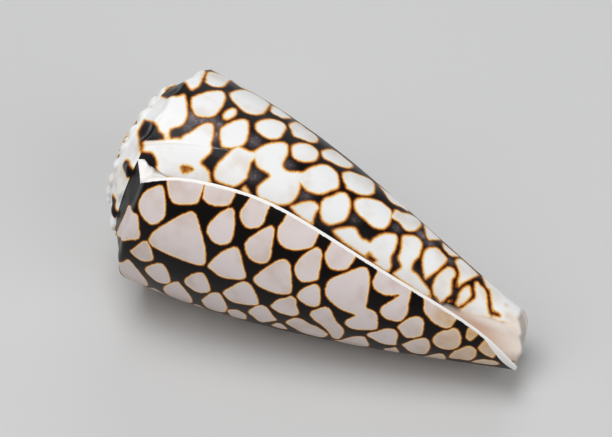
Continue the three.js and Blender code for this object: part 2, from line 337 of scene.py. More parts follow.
# White patches on the whorl before, above the lip in the photograph
BODY_PATCHES = {
    "lip_chip": [(240, 190), (243, 186), (246, 185), (249, 189), (252, 196), (247, 195)],
    "crest_left": [(175.5, 86.8), (181, 76), (189, 66), (199, 63), (203.5, 73), (203, 80), (200, 86.5),
        (195, 89.5), (188, 88)],
    "crest_right": [(204.5, 81), (206, 72), (209, 63), (218, 65), (226, 70), (228, 78), (227.3, 82),
        (225.5, 86.5), (219, 87.8), (212, 86.8), (207, 84)],
    "top_sliver": [(229, 80.5), (233, 74), (246, 80), (258, 92), (250, 92), (244, 90.3), (236, 86.5)],
    "shoulder_big": [(162, 94.5), (167.5, 98), (174, 95.5), (184, 93), (187, 98), (188.6, 108),
        (188.5, 116), (185.5, 123.5), (180, 127.5), (172.5, 129.5), (171, 134), (172, 148), (162, 148),
        (163, 137), (157.5, 131), (155.5, 125.5), (150, 122.5), (147, 118), (146.5, 112), (150, 104),
        (156, 99)],
    "round_one": [(191, 97), (196, 94.5), (205, 91.5), (214, 90), (222, 90.5), (225, 93), (226.5, 97),
        (225.5, 102.5), (222, 109), (218, 114.5), (213, 117.5), (206, 118.2), (198, 117.5), (193, 114),
        (190.5, 108), (190, 101)],
    "round_two": [(228.5, 93.5), (232, 91), (240, 90), (248, 91.5), (256, 95.5), (263, 100), (268.5, 105),
        (266.5, 112), (262, 115), (254, 115.5), (246, 113.5), (241, 110), (236, 105), (231, 100)],
    "small_oval": [(221.5, 116), (224, 111.5), (229, 108), (233, 107), (237.5, 109.5), (237.3, 114),
        (234, 118), (228, 120.8), (223.5, 120.5)],
    "square_one": [(220, 127.5), (226, 123.5), (233, 120), (241, 118.5), (247, 119), (249.5, 123),
        (249.8, 131), (248.5, 139), (245, 145), (238, 148.5), (228, 149.2), (221, 147.5), (219.5, 143),
        (218.5, 135)],
    "above_scar": [(184, 133.8), (191, 130.5), (197, 126), (203, 122.8), (209, 121.5), (213.8, 123.5),
        (215, 129), (214.3, 138), (212.5, 144), (213, 150), (206, 158), (190, 155), (178, 146),
        (180, 138)],
    "notch_field": [(143, 141), (150, 141.5), (157, 140), (165, 138.5), (180, 137), (200, 142),
        (212, 147.5), (213, 150), (209, 156), (204, 160.5), (202, 163), (207, 167.5), (210.5, 172),
        (211, 178), (212, 183), (200, 184), (185, 182), (170, 179), (160, 176), (155.5, 168.5),
        (156, 163), (154, 157), (150.5, 153.5), (146, 153), (142, 152), (142, 147)],
    "by_lip_one": [(213, 171), (216.5, 163.5), (222, 157.5), (229, 151), (234, 146), (240, 145),
        (247, 149), (258, 152), (258, 158), (252, 163), (251, 168), (249, 174), (248, 178.5), (244, 182),
        (240, 185.5), (233, 188), (224, 185.3), (215.5, 182), (213, 177)],
    "wide_field": [(252.5, 152), (256, 148.5), (264, 144), (272, 141.8), (282, 141), (287.5, 143),
        (289.5, 149), (288.3, 156), (285.5, 161), (284.5, 167), (290, 170.5), (300, 171), (301.5, 180),
        (301, 189), (298, 197), (292, 203.5), (286, 206), (276, 205.5), (266, 201.5), (258, 198),
        (255.5, 190.5), (258, 184.5), (264, 179.5), (268.5, 175.5), (262, 171.5), (257, 168), (254, 162)],
    "right_field": [(302, 171), (309, 167), (316, 164.5), (323, 163.5), (330, 165.5), (335, 169.5),
        (338.7, 174), (340, 180.5), (340, 186), (338, 189.5), (330, 192.2), (323, 195.3), (315, 194.8),
        (307, 192), (303, 188), (297, 182), (292, 176), (296, 171)],
    "oval_one": [(290.5, 146), (295, 143), (303, 142.3), (310, 144), (316, 148), (319.3, 152), (319, 158),
        (315, 162), (307, 163), (299, 162), (293, 158.5), (290.5, 153)],
    "edge_one": [(288, 124.5), (292, 122), (298, 123.5), (304, 128.5), (311, 133.5), (316, 138),
        (318.5, 142.5), (312, 143.5), (304, 140.5), (297, 138), (292, 135.5), (290.5, 130)],
    "square_two": [(254.5, 124), (258, 120.5), (266, 118.3), (274, 118.8), (281, 121), (286, 124.5),
        (287, 129), (284.5, 133.5), (281.5, 138), (276, 140), (269, 140), (263, 137), (257.5, 133),
        (254.5, 129)],
    "edge_two": [(269.5, 105.5), (274, 107), (280, 110.5), (285, 114.5), (289.5, 118), (288.5, 119.8),
        (283.5, 119), (278, 116.5), (272, 113.5), (269.5, 109.5)],
    "edge_three": [(320.5, 151), (325, 148.8), (331, 150), (338, 154.3), (345, 160), (352, 166),
        (351.5, 168.8), (344, 168.3), (338, 166.3), (331.5, 162.7), (325.5, 160), (321.5, 156.5)],
    "edge_four": [(341.3, 173), (345.5, 170.8), (352, 171.2), (359.5, 174.2), (367, 178.8), (373, 184),
        (375.7, 189), (374.5, 194), (368, 196.2), (359, 195.2), (352, 191.8), (346, 189.2), (344.8, 185),
        (342.2, 180)],
    "edge_five": [(376, 185), (384, 190), (393, 196.3), (402, 203.5), (408.5, 209), (408, 212.5),
        (401, 209), (394, 204.7), (388, 199.5), (381, 191.5)],
    "round_three": [(331, 195.2), (337, 192.2), (343, 191.3), (348.5, 194.5), (350.8, 199.5),
        (351.6, 207), (349.8, 214.5), (346.3, 220.5), (341, 223.5), (334, 225.5), (328.5, 225.8),
        (323, 223), (319.7, 217.5), (319, 209), (320.5, 201.5), (325, 197)],
    "by_lip_two": [(289, 206.5), (296, 203.3), (303, 200.7), (311, 200.2), (317, 202), (320.5, 208),
        (317, 213), (314.5, 219.5), (313, 226), (304, 221), (296, 215)],
    "round_four": [(358, 197.3), (366, 196.8), (374, 198.5), (381.5, 201.2), (387, 205.5), (391.5, 209.5),
        (393, 214.5), (392, 220.5), (389, 226.5), (384, 229.8), (377, 229.7), (371, 226.8), (364, 220.3),
        (358, 215.5), (354, 209.5), (353, 203.5), (354.5, 199.3)],
    "edge_six": [(395.5, 208.5), (402, 211.8), (409, 214.3), (415, 217.5), (420, 222.5), (420.4, 227),
        (417.5, 231), (411, 232.3), (405, 230.8), (401, 226.3), (397.5, 222.3), (390.5, 218),
        (390.5, 214.5)],
    "by_lip_three": [(331.5, 232), (336, 228.3), (343, 226.3), (354, 226), (358, 229.3), (360, 234),
        (363, 238), (366, 237.5), (369.5, 241), (374, 236.8), (381, 233.3), (389, 232), (396, 233.5),
        (398.6, 238), (398, 244), (396, 250), (392.5, 256.5), (392, 262), (392.3, 267), (389, 273),
        (380, 269), (368, 260.5), (355, 251.5), (343, 243.5)],
    "by_lip_four": [(401.5, 235.3), (408, 234.2), (415, 235), (420, 238.2), (423.3, 243.5), (422.3, 250),
        (420, 257), (415, 262.3), (413, 268), (414, 271), (418, 272.6), (420.5, 277), (425, 282.5),
        (429.5, 288.3), (431.5, 293.5), (432, 301), (421, 295), (408, 286.5), (396, 278.5),
        (391.5, 273.5), (396.5, 269.5), (400, 266), (397.5, 260.5), (397.3, 256.5), (399.5, 250.5),
        (400.3, 243)],
    "narrow_tent": [(428, 246.9), (434, 246.3), (439, 248), (443, 252.5), (448.2, 258.7), (446.5, 263),
        (441, 268.7), (434, 274.6), (425.3, 280.3), (423, 275), (421.6, 267), (421.6, 259), (423.3, 251)],
    "narrow_drop": [(448, 266), (453, 267.2), (456.5, 272.5), (456, 277), (453, 280.5), (453, 287),
        (452, 294.5), (448, 298), (444.3, 301.8), (440, 304), (436.5, 299), (433, 295.5), (431.3, 290),
        (432.3, 283), (435.5, 275.8), (441.5, 270)],
    "edge_seven": [(422.5, 224.3), (428, 228.5), (434, 234), (440, 240), (437, 241.5), (430, 241),
        (426.5, 238.5), (424.5, 232)],
    "edge_eight": [(441, 242.5), (447, 247), (454, 253), (459.5, 257.3), (455, 258.2), (450.5, 256.5),
        (446.5, 252.5), (442.5, 247.5)],
    "edge_nine": [(454.3, 261), (459.5, 258.3), (466, 263.5), (473, 270), (478.5, 275.8), (474, 278.5),
        (468.5, 281.3), (462.5, 285), (457, 288.5), (456, 284), (457.5, 277.5), (458.3, 273),
        (456.8, 267.5)],
    "end_loop": [(468.3, 284), (471.3, 287.5), (472.3, 295.5), (469.5, 299.8), (463.5, 305), (458, 308),
        (454.5, 304), (457, 298), (458, 293), (462, 288)],
    "end_field": [(474.5, 281.5), (478.5, 281.5), (481, 285), (486, 289.5), (488, 297), (488.8, 305),
        (490, 312), (492, 318), (480, 318), (466, 315), (456, 309), (462, 307), (466, 303.5), (471, 300),
        (474.5, 296.5), (473.5, 289)],
    "end_tip": [(481, 275), (488, 276), (496, 283), (507, 294), (520, 305), (533, 312), (530, 320),
        (519, 325), (508, 324), (498, 322), (490, 318), (493, 314.5), (499, 316), (498, 313.5),
        (492, 311.5), (490.3, 303), (489.5, 295), (488.5, 289.5), (484.5, 286)],
    "end_chip": [(446.5, 301.5), (450, 299), (452.5, 297.5), (452.5, 301), (449.5, 303)],
}

# A dark mark within the white by the lip, and an amber spot, which doesn't get as dark
LIP_SPOT = [(368, 257.5), (369.7, 253.5), (371.5, 257.5), (375.5, 260.2), (371.5, 261)]
AMBER_SPOT = [(182.5, 166.3), (192, 169), (183.5, 172)]
AMBER = -0.08

# The older whorls beside the seam, seen edge on: their white strip and its dark squares
OLD_STRIP = [
    (165, 90), (160, 98), (151, 107), (147, 117), (139, 132), (141, 150), (143, 157), (137, 168),
    (128, 187), (124, 200), (118, 221), (112, 234), (98, 236), (98, 150), (130, 88),
]
OLD_SQUARES = [(127, 172.5), (114.5, 217)]

# The scar of an older lip, fading out along its way, and how far from it the ridge reaches, in millimetres
SCAR = [
    (146, 143), (165, 142), (185, 143), (200, 145), (215, 148), (232, 151), (250, 155), (270, 160),
]
SCAR_REACH = 0.55
SCAR_ROOM = 20.0
SCAR_TOP = 0.1

# Where the smooth inner glaze of the mouth begins on the whorl before, and how softly, in millimetres
GLAZE_EDGE = [(444, 303), (457, 309), (487, 315), (504, 321), (524, 322)]
GLAZE_SEAM_TURN = -1.02
GLAZE_SOFTNESS = (-0.4, 0.8)

# The darker band inside the mouth, painted shade of the hollow between the whorl before and the far wall: in
# turns and in millimetres from the narrow end
SHADE_BAND_START_TURNS = (-1.0, -1.06)
SHADE_BAND_END_TURNS = (-1.28, -1.12)
SHADE_BAND_REACH = (1.0, 8.0)

# The white edge of the lip, in millimetres: it is wider towards the narrow end
LIP_ROOM = 6.0
LIP_WIDENING = 2.2
LIP_WIDENING_REACH = (0.5, 8.0)
LIP_SIDE_TURN = -0.6

# Soft spots: place in the photograph, radius in millimetres, strength
LIP_STAINS = [
    ((445, 315), 1.9, 1.0), ((450, 321), 1.4, 0.8), ((472, 332), 1.6, 1.0), ((488, 345), 1.8, 0.9),
    ((494, 352), 1.3, 0.7), ((470, 352), 1.6, 0.5), ((450, 340), 2.6, 0.3),
]
BODY_STAINS = [((520, 321), 0.9, 1.0), ((508, 316), 0.8, 0.6), ((506, 305), 0.5, 0.8)]
BODY_WEAR = [
    ((193, 118), 1.6, 1.0), ((203, 120), 1.5, 0.9), ((213, 120), 1.2, 0.7), ((219, 125), 1.2, 0.8),
    ((216, 135), 1.2, 0.9), ((254, 141), 1.4, 0.6), ((188, 127), 1.0, 0.5), ((422, 235), 1.0, 1.0),
    ((430, 243), 1.2, 0.6), ((254, 176), 1.2, 0.4), ((450, 261), 0.9, 0.5), ((150, 128), 0.9, 0.5),
    ((288, 165), 1.2, 0.4), ((305, 196), 1.2, 0.35), ((397, 228), 1.0, 0.4), ((355, 219), 1.0, 0.25),
]
SPOT_REACH = 3.0
SPOT_SOFTNESS = 0.6
STAIN_LAYER = 0
WEAR_LAYER = 1

# Paint of the sheets without markings
PLAIN = {"tents_a": CLEAR, "tents_b": CLEAR, "coil": 0.0, "finish": 0.0, "glaze": (1.0, 0.0, CLEAR)}
LIP_GLAZE = (0.0, 0.0, CLEAR)

# Colours, in 0-255 screen values
YOUNG_WHITE = (222, 210, 208)
# Painted shade: the white darker where the lip's whorl turns down towards the floor, away from the light
SHADED_LOW_WHITE = (182, 160, 148)
WARM_WHITE = (214, 182, 140)
OLD_WHITE = (239, 239, 239)
MOTTLE_TINT = (238, 228, 218)
WORN_BLACK = (150, 138, 142)
STAIN = (202, 154, 84)
LIP_WHITE = (246, 243, 240)
SCAR_WHITE = (246, 244, 241)
INNER_WHITE = (238, 228, 219)
INNER_MOTTLE = (222, 206, 193)
# Painted shade of the hollow deep inside the mouth
INNER_SHADE = (206, 172, 150)

# The borders between white and black: distance from the outline in millimetres, and colour
BORDER = [
    (-0.36, (242, 222, 180)),
    (-0.20, (224, 164, 80)),
    (-0.04, (142, 74, 20)),
    (0.12, (40, 17, 7)),
    (0.26, (13, 9, 8)),
]
BORDER_RANGE = (-0.7, 0.5)
BORDER_START = (-0.52, -0.34)
BLACK_START = (-0.1, 0.15)
YOUNG_SHARPNESS = 1.2
OLD_SHARPNESS = 0.8

# Unevenness of the outlines: scale and detail of the noise, and its size in millimetres
COARSE_NOISE = (1100.0, 3.0, 0.3)
FINE_NOISE = (3800.0, 2.0, 0.24)

# Where the white changes, in turns and in reach down the side, and its mottling; the darker white on the
# lower side is painted shade
OLD_WHORL_TURNS = (-0.45, -0.6)
SHADED_SIDE_TURNS = (-0.12, -0.34)
WARM_REACH = (46.0, 64.0)
WARM_SHARE = 0.6
MOTTLE_NOISE = (160.0, 4.0)
MOTTLE_RANGE = (0.45, 0.75)

# Worn black, stains, the lip's edge, the scar and the inner band of painted shade: noise, its range, and
# strengths
WEAR_NOISE = (2600.0, 3.0)
WEAR_RANGE = (0.45, 0.62)
WEAR_STRENGTH = (0.45, 0.5)
STAIN_NOISE = (500.0, 4.0)
STAIN_RANGE = (0.3, 0.65)
STAIN_STRENGTH = (0.6, 0.35)
LIP_UNEVENNESS = 0.8
LIP_EDGE_RANGE = (0.36, 0.24)
SCAR_STRENGTH = 0.8
SHADE_BAND_STRENGTH = 0.9

# Gloss, and the fine growth lines: their number in a turn, their stretch down the side, and the bumps
ROUGHNESS = 0.36
SPECULAR_LEVEL = 0.12
COAT_WEIGHT = 0.08
COAT_ROUGHNESS = 0.08
LINES_PER_TURN = 260.0
LINE_STRETCH = 0.06
LINE_NOISE = (1.0, 4.0)
LINE_BUMP = 0.12
SCAR_BUMP = 0.5
BUMP_DISTANCE = 0.0002

# The studio: floor, lamps (name, place, watts, width) and the light all round
FLOOR_SIZE = 4.0
FLOOR_COLOUR = (0.6, 0.6, 0.6, 1.0)
LAMPS = [
    ("key", (-0.12, -0.10, 0.72), 3.3, 0.45),
    ("front_fill", (-0.35, -0.60, 0.62), 2.0, 0.6),
    ("end_fill", (0.70, -0.30, 0.55), 2.2, 0.6),
    ("back_fill", (-0.15, 0.75, 0.45), 1.3, 0.6),
]
LAMP_TARGET = Vector((0.0, 0.0, 0.02))
WORLD_COLOUR = (0.95, 0.97, 1.0, 1.0)
WORLD_STRENGTH = 0.16


def smoothstep(value, low, high):
    share = np.clip((value - low) / (high - low), 0.0, 1.0)
    return share * share * (3.0 - 2.0 * share)


def shoulder_radius(growth):
    return SHOULDER_RADIUS * SHOULDER_GROWTH ** growth


def shoulder_height(growth):
    step = smoothstep(-growth, *STEP_TURNS) * (1.0 - smoothstep(-growth, *STEP_END_TURNS))
    return BODY_HEIGHT + SPIRE_HEIGHT * (1.0 - SHOULDER_GROWTH ** (SPIRE_DOME * growth)) + SPIRE_STEP * step


def cover_height(growth):
    return shoulder_height(growth) - COVER_DROP * shoulder_radius(growth)


def side_radius(growth, up):
    """Radius of the side at a share of the way up from the narrow end to the shoulder."""
    at_lip = MOUTH_RADIUS + (SHOULDER_RADIUS - MOUTH_RADIUS) * (1.0 - (1.0 - up) ** SIDE_FULLNESS)
    per_whorl = SHOULDER_GROWTH + (MOUTH_GROWTH - SHOULDER_GROWTH) * (1.0 - up) ** GROWTH_EASE
    return at_lip * per_whorl ** growth


def knob(growth):
    wave = 0.5 + 0.5 * np.cos(FULL_TURN * KNOBS_PER_WHORL * growth)
    fade = 1.0 - KNOB_FADE * np.clip(1.0 + growth / KNOB_FADE_WHORLS, 0.0, 1.0)
    size = KNOB_SIZE + (OLD_KNOB_SIZE - KNOB_SIZE) * smoothstep(-growth, *OLD_KNOB_TURNS)
    return size * shoulder_radius(growth) * fade * wave ** KNOB_SHARPNESS


def lip_lead(up):
    """Degrees that the lip edge leads at a share of the way up the side."""
    up = np.clip(up, 0.0, 1.0)
    notch = NOTCH_LAG * up ** NOTCH_SHARPNESS
    end = END_LAG * (1.0 - up) ** END_SHARPNESS
    dip = LIP_DIP * np.exp(-((up - LIP_DIP_AT) / LIP_DIP_WIDTH) ** 2)
    return LIP_LEAD + LIP_TREND * (up - 0.5) - notch - end - dip


def near_lip(growth):
    return smoothstep(growth, -LIP_FADE_WHORLS, 0.0)


def place(growth, radius, height, lead):
    """Points of the standing shell, coiling axis up, in millimetres."""
    angle = FULL_TURN * growth + np.radians(lead) * near_lip(growth)
    return np.stack([radius * np.cos(angle), radius * np.sin(angle), height], axis=-1)


def end_height(growth):
    """Height of the narrow end's margin, standing back on the far side and long at the columella."""
    rise = END_RISE * np.exp(-((growth - END_RISE_AT) / END_RISE_WIDTH) ** 2)
    return -growth * END_SLANT + rise - COLUMELLA_REACH * smoothstep(-growth, COLUMELLA_START, 1.0)


def side_heights(growth):
    """Heights of the rows below the seam line, from the cover row to the narrow end."""
    cover = cover_height(growth)[:, None]
    end = end_height(growth)[:, None]
    rim = cover - WALL * np.arange(LIP_ROWS)[None, :] / LIP_ROWS
    down = np.linspace(0.0, 1.0, SIDE_ROWS + 1)[None, :]
    return np.concatenate([rim, (cover - WALL) + (end - cover + WALL) * down], axis=1)


def bezier(weights, handles):
    return sum(weight * handle for weight, handle in zip(weights, handles))


def outer_sheet(growth):
    """The outside for an array of growth stations: a grid of points, one line a station."""
    radius = shoulder_radius(growth)[:, None]
    height = shoulder_height(growth)[:, None]
    bump = knob(growth)[:, None]

    # The ramp, from the seam with the whorl before up to the crest
    before = growth - 1.0
    closed = (before < FIRST_WHORL - 1e-9)[:, None]
    seam_height = np.where(closed, LENGTH, cover_height(before)[:, None])
    seam_up = (cover_height(before) / shoulder_height(before))[:, None]
    seam_radius = np.where(closed, 0.0, side_radius(before[:, None], seam_up))
    along = np.linspace(0.0, 1.0, RAMP_ROWS + 1)[None, :]
    crest_radius = CREST_RADIUS * radius
    crest_height = height - CREST_DROP * radius + KNOB_RISE * bump
    ramp_radius = seam_radius + (crest_radius - seam_radius) * along
    ramp_height = seam_height + (crest_height - seam_height) * along
    ramp_lead = np.broadcast_to(lip_lead(1.0) * along, ramp_radius.shape)

    # The rounded edge, with the knobs, down to the line that the next whorl covers
    cover = cover_height(growth)[:, None]
    cover_radius = side_radius(growth[:, None], cover / height)
    part = np.linspace(0.0, 1.0, EDGE_ROWS + 1)[None, 1:-1]
    weights = [(1 - part) ** 3, 3 * part * (1 - part) ** 2, 3 * part ** 2 * (1 - part), part ** 3]
    upper_knob, lower_knob = EDGE_KNOB_SHARES
    edge_radius = bezier(weights, [
        crest_radius,
        crest_radius + EDGE_OUT * radius + upper_knob * bump,
        cover_radius + lower_knob * bump,
        cover_radius,
    ])
    edge_height = bezier(weights, [
        crest_height,
        crest_height - EDGE_DROP * radius,
        cover + EDGE_RISE * radius,
        cover,
    ])
    edge_lead = lip_lead(edge_height / height)

    # The side, down to the narrow end
    rows_height = side_heights(growth)
    up = rows_height / height
    rows_radius = side_radius(growth[:, None], up)
    rows_lead = lip_lead(up)

    all_radius = np.concatenate([ramp_radius, edge_radius, rows_radius], axis=1)
    all_height = np.concatenate([ramp_height, edge_height, rows_height], axis=1)
    all_lead = np.concatenate([ramp_lead, edge_lead, rows_lead], axis=1)
    points = place(growth[:, None], all_radius, all_height, all_lead)
    return points, paint_coordinates(growth[:, None], all_radius, all_height, all_lead)


def paint_coordinates(growth, radius, height, lead):
    """For each point: turns round the axis, reach down the side, radius, growth line, turns to the lip."""
    turn = growth + lead / 360.0 * near_lip(growth)
    steps = np.hypot(np.diff(radius, axis=1), np.diff(height, axis=1))
    reach = np.concatenate([np.zeros_like(radius[:, :1]), np.cumsum(steps, axis=1)], axis=1)
    reach = reach - reach[:, COVER_ROW:COVER_ROW + 1]
    growth_line = turn - lead / 360.0
    return np.stack([turn, reach, radius, growth_line, np.broadcast_to(growth, radius.shape)], axis=-1)


def inner_sheet(growth):
    """The inside of the mouth: a vault under the ramp, then the inner face of the wall."""
    wall = (WALL + (LIP_WALL - WALL) * near_lip(growth))[:, None]
    height = shoulder_height(growth)[:, None]
    column = growth[:, None]

    def inner_radius(up):
        return side_radius(column, up) - wall * (END_WALL_SHARE + (1.0 - END_WALL_SHARE) * up)

    before = growth - 1.0
    start_height = (cover_height(before) - WALL)[:, None]
    start_radius = side_radius(before[:, None], start_height / shoulder_height(before)[:, None])
    top = (cover_height(growth) - WALL)[:, None]
    part = np.linspace(0.0, 1.0, MOUTH_TOP_ROW + 1)[None, :]
    weights = [(1 - part) ** 2, 2 * part * (1 - part), part ** 2]
    vault_radius = bezier(weights, [start_radius, inner_radius(1.0), inner_radius(top / height)])
    vault_height = bezier(weights, [start_height, height - wall, top])
    ramp_lead = lip_lead(1.0) * np.clip(part * MOUTH_TOP_ROW / RAMP_ROWS, 0.0, 1.0)
    blend = smoothstep(part, *VAULT_BLEND)
    vault_lead = ramp_lead * (1.0 - blend) + lip_lead(vault_height / height) * blend
    rows_height = side_heights(growth)[:, LIP_ROWS + 1:]
    up = rows_height / height
    all_radius = np.concatenate([vault_radius, inner_radius(up)], axis=1)
    all_height = np.concatenate([vault_height, rows_height], axis=1)
    all_lead = np.concatenate([vault_lead, lip_lead(up)], axis=1)
    points = place(column, all_radius, all_height, all_lead)
    points[:, 0] = place(before, start_radius[:, 0], start_height[:, 0], 0.0)
    return points


def stations(first, last, per_whorl):
    count = round((last - first) * per_whorl)
    return np.linspace(first, last, count + 1)


def lip_sheet(outer_edge, inner_edge, body_edge):
    """The rounded edge of the lip, from its outer line to its inner line."""
    middle = 0.5 * (outer_edge + inner_edge)
    across = 0.5 * (outer_edge - inner_edge)
    thickness = np.linalg.norm(across, axis=1, keepdims=True)
    outward = middle * [1.0, 1.0, 0.0]
    outward /= np.linalg.norm(outward, axis=1, keepdims=True)
    ahead = np.cross([0.0, 0.0, 1.0], outward)
    lines = []
    for turn in np.linspace(0.0, math.pi, LIP_ROWS + 1):
        lines.append(middle + across * math.cos(turn) + ahead * thickness * math.sin(turn))
    sheet = np.array(lines)
    sheet[:, 0] = body_edge
    return sheet


def end_sheet(hidden, body, inside):
    """The narrow end: the wall's end face round the mouth, then the closed core round the axis."""
    outer = np.concatenate([hidden[:-1, END_ROW], body[:, END_ROW]])
    hidden_growth = stations(-1.0 - MOUTH_DEPTH, -1.0, INSIDE_STATIONS)[:-1]
    growth = np.concatenate([hidden_growth, stations(-1.0, 0.0, STATIONS_PER_WHORL)])
    nearest = np.clip(np.round(-growth * INSIDE_STATIONS).astype(int), 0, len(inside) - 1)
    partner = inside[nearest, END_ROW]
    partner[growth < -MOUTH_DEPTH] = [0.0, 0.0, CORE_END_HEIGHT]
    return np.stack([outer, partner], axis=1)


def fold_in(hidden, growth, far_wall):
    """Turns the whorl before, deep in the mouth, out to the far wall at the narrow end."""
    out = smoothstep(-1.0 - growth, *FOLD_TURNS)[:, None]
    drop = smoothstep(-1.0 - growth, *FOLD_DROP_TURNS)[:, None]
    rows_down = (np.arange(END_ROW + 1) - MOUTH_TOP_ROW) / SIDE_ROWS
    down = FOLD_SHARE * smoothstep(rows_down, *FOLD_ROWS)[None, :]
    return hidden + np.stack([out * down, out * down, drop * down], axis=-1) * (far_wall - hidden)


def all_sheets():
    """Every sheet of the shell: its points, standing, and its paint coordinates where it has any."""
    spire, spire_paint = outer_sheet(stations(FIRST_WHORL, 0.0, STATIONS_PER_WHORL))
    spire[0, :COVER_ROW] = [0.0, 0.0, LENGTH]
    body, body_paint = outer_sheet(stations(-1.0, 0.0, STATIONS_PER_WHORL))
    hidden_growth = stations(-1.0 - MOUTH_DEPTH, -1.0, INSIDE_STATIONS)
    hidden, hidden_paint = outer_sheet(hidden_growth)
    inside = inner_sheet(stations(-MOUTH_DEPTH, 0.0, INSIDE_STATIONS)[::-1])
    lip = lip_sheet(body[-1], inside[0], body[0, COVER_ROW:MOUTH_TOP_ROW + 1])
    hidden = fold_in(hidden, hidden_growth, inside[::-1])
    end_rows = np.maximum(np.arange(END_ROW + 1), MOUTH_TOP_ROW)
    points = {
        "spire": spire[:, :COVER_ROW + 1],
        "body": body[:, COVER_ROW:],
        "hidden": hidden[:, MOUTH_TOP_ROW:],
        "lip": lip,
        "inside": inside,
        "back": np.stack([inside[-1], hidden[0][end_rows]]),
        "end": end_sheet(hidden, body, inside),
    }
    paint = {
        "spire": spire_paint[:, :COVER_ROW + 1],
        "body": body_paint[:, COVER_ROW:],
        "hidden": hidden_paint[:, MOUTH_TOP_ROW:],
    }
    return points, paint


def lay_down(points):
    """Turns standing points into the lying pose, in metres."""
    x, y, z = points[..., 0], points[..., 1], points[..., 2]
    rolled_x = x * math.cos(ROLL) - y * math.sin(ROLL)
    rolled_y = x * math.sin(ROLL) + y * math.cos(ROLL)
    turn = TILT - math.pi / 2.0
    return np.stack([
        rolled_x * math.cos(turn) + z * math.sin(turn),
        rolled_y,
        -rolled_x * math.sin(turn) + z * math.cos(turn),
    ], axis=-1) * MM


def lay_on_floor(sheets):
    """The sheets in the lying pose, over the origin, with the flat cut where they go under the floor."""
    laid = {name: lay_down(points) for name, points in sheets.items()}
    outside = np.concatenate([laid["spire"].reshape(-1, 3), laid["body"].reshape(-1, 3)])
    low = outside.min(axis=0)
    middle = 0.5 * (low + outside.max(axis=0))
    shift = np.array([-middle[0], -middle[1], -(low[2] + FLAT_DEPTH * MM)])
    for name in laid:
        laid[name] = laid[name] + shift
        laid[name][..., 2] = np.maximum(laid[name][..., 2], 0.0)
    return laid


def facing_camera(laid):
    """How squarely every point of the outside faces the camera, from -1 to 1."""
    facing = []
    for name in OUTSIDE:
        along = np.gradient(laid[name], axis=0)
        down = np.gradient(laid[name], axis=1)
        normal = np.cross(down, along)
        normal = normal / np.maximum(np.linalg.norm(normal, axis=2, keepdims=True), TINY)
        facing.append((normal @ np.array(CAMERA_BACK)).ravel())
    return np.concatenate(facing)


def to_pixels(points):
    """Where points of the lying shell fall in the photograph."""
    turn = np.array(CAMERA_TURN.to_matrix())
    local = (points - np.array(CAMERA_PLACE)) @ turn
    across = 0.5 * FRAME_WIDTH - FOCAL_PIXELS * local[..., 0] / local[..., 2]
    down = 0.5 * FRAME_HEIGHT + FOCAL_PIXELS * local[..., 1] / local[..., 2]
    return np.stack([across, down], axis=-1)


class Canvas:
    """The outside of one stretch of whorl, to find where a pixel of the photograph falls on it."""

    def __init__(self, laid, paint, turns, middle, outwards, onwards):
        first_turn, last_turn = turns
        self.middle = np.array(middle)
        self.outwards = np.array(outwards)
        self.onwards = onwards
        self.corners = []
        self.paint = []
        for name in OUTSIDE:
            turn = paint[name][..., 0]
            for station in range(len(turn) - 1):
                if turn[station].max() < first_turn or turn[station + 1].min() > last_turn:
                    continue
                self.add_strip(laid[name][station:station + 2], paint[name][station:station + 2])
        vertices = [corner for triangle in self.corners for corner in triangle]
        faces = [(3 * i, 3 * i + 1, 3 * i + 2) for i in range(len(self.corners))]
        self.tree = BVHTree.FromPolygons(vertices, faces)

    def add_strip(self, points, marks):
        """Two triangles for every row between two stations."""
        for row in range(points.shape[1] - 1):
            for corners in (((0, 0), (1, 1), (1, 0)), ((0, 0), (0, 1), (1, 1))):
                self.corners.append([Vector(points[s, row + r]) for s, r in corners])
                self.paint.append([Vector((*marks[s, row + r, :2], 0.0)) for s, r in corners])

    def cast(self, pixel):
        """The place seen at a pixel, the triangle there and the line of sight, or None off the shell."""
        across = (pixel[0] - 0.5 * FRAME_WIDTH) / FOCAL_PIXELS
        down = (pixel[1] - 0.5 * FRAME_HEIGHT) / FOCAL_PIXELS
        ray = (CAMERA_TURN @ Vector((across, -down, -1.0))).normalized()
        hit, normal, index, _ = self.tree.ray_cast(CAMERA_PLACE, ray)
        if hit is None or normal.dot(ray) > 0.0:
            return None
        return hit, index, ray

    def find(self, pixel):
        """Turn and reach at a pixel, or None off the shell."""
        seen = self.cast(pixel)
        if seen is None:
            return None
        hit, index, _ = seen
        spot = barycentric_transform(hit, *self.corners[index], *self.paint[index])
        return np.array(spot[:2])

    def find_near(self, pixel):
        """As find, but drawn in towards the stretch's middle where the pixel falls off the shell."""
        pixel = np.array(pixel, dtype=float)
        inwards = (self.middle - pixel) / np.linalg.norm(self.middle - pixel)
        for step in np.arange(0.0, SEARCH_PIXELS, SEARCH_STEP):
            spot = self.find(pixel + inwards * step)
            if spot is not None:
                return spot
        return None

    def line(self, pixels):
        return np.array([self.find_near(pixel) for pixel in pixels])

    def outline(self, pixels):
        """An outline's points on the shell; those at the shell's own edge run on round it."""
        spots = []
        for pixel in np.array(pixels, dtype=float):
            spot = self.find_near(pixel)
            if spot is None:
                continue
            if self.find(pixel + EDGE_PIXELS * self.outwards) is None:
                spot[0] += self.onwards * RUN_ON / (FULL_TURN * SHOULDER_RADIUS)
            if self.onwards > 0.0 and self.find(pixel - [EDGE_PIXELS, 0.0]) is None:
                spot[1] -= RUN_ON
            if pixel[0] > NARROW_END and self.find(pixel + [EDGE_PIXELS, 0.0]) is None:
                spot[1] += END_RUN_ON
            spots.append(spot)
        return np.array(spots)


def meet_lip(spots, edge):
    """Draws an outline's points that are next to the lip on under its white edge."""
    around = FULL_TURN * np.interp(spots[:, 1], edge[:, 1], edge[:, 2])
    gap = (np.interp(spots[:, 1], edge[:, 1], edge[:, 0]) - spots[:, 0]) * around
    spots = spots.copy()
    spots[:, 0] += np.where(gap < LIP_TOUCH, LIP_RUN_ON, 0.0) / around
    return spots


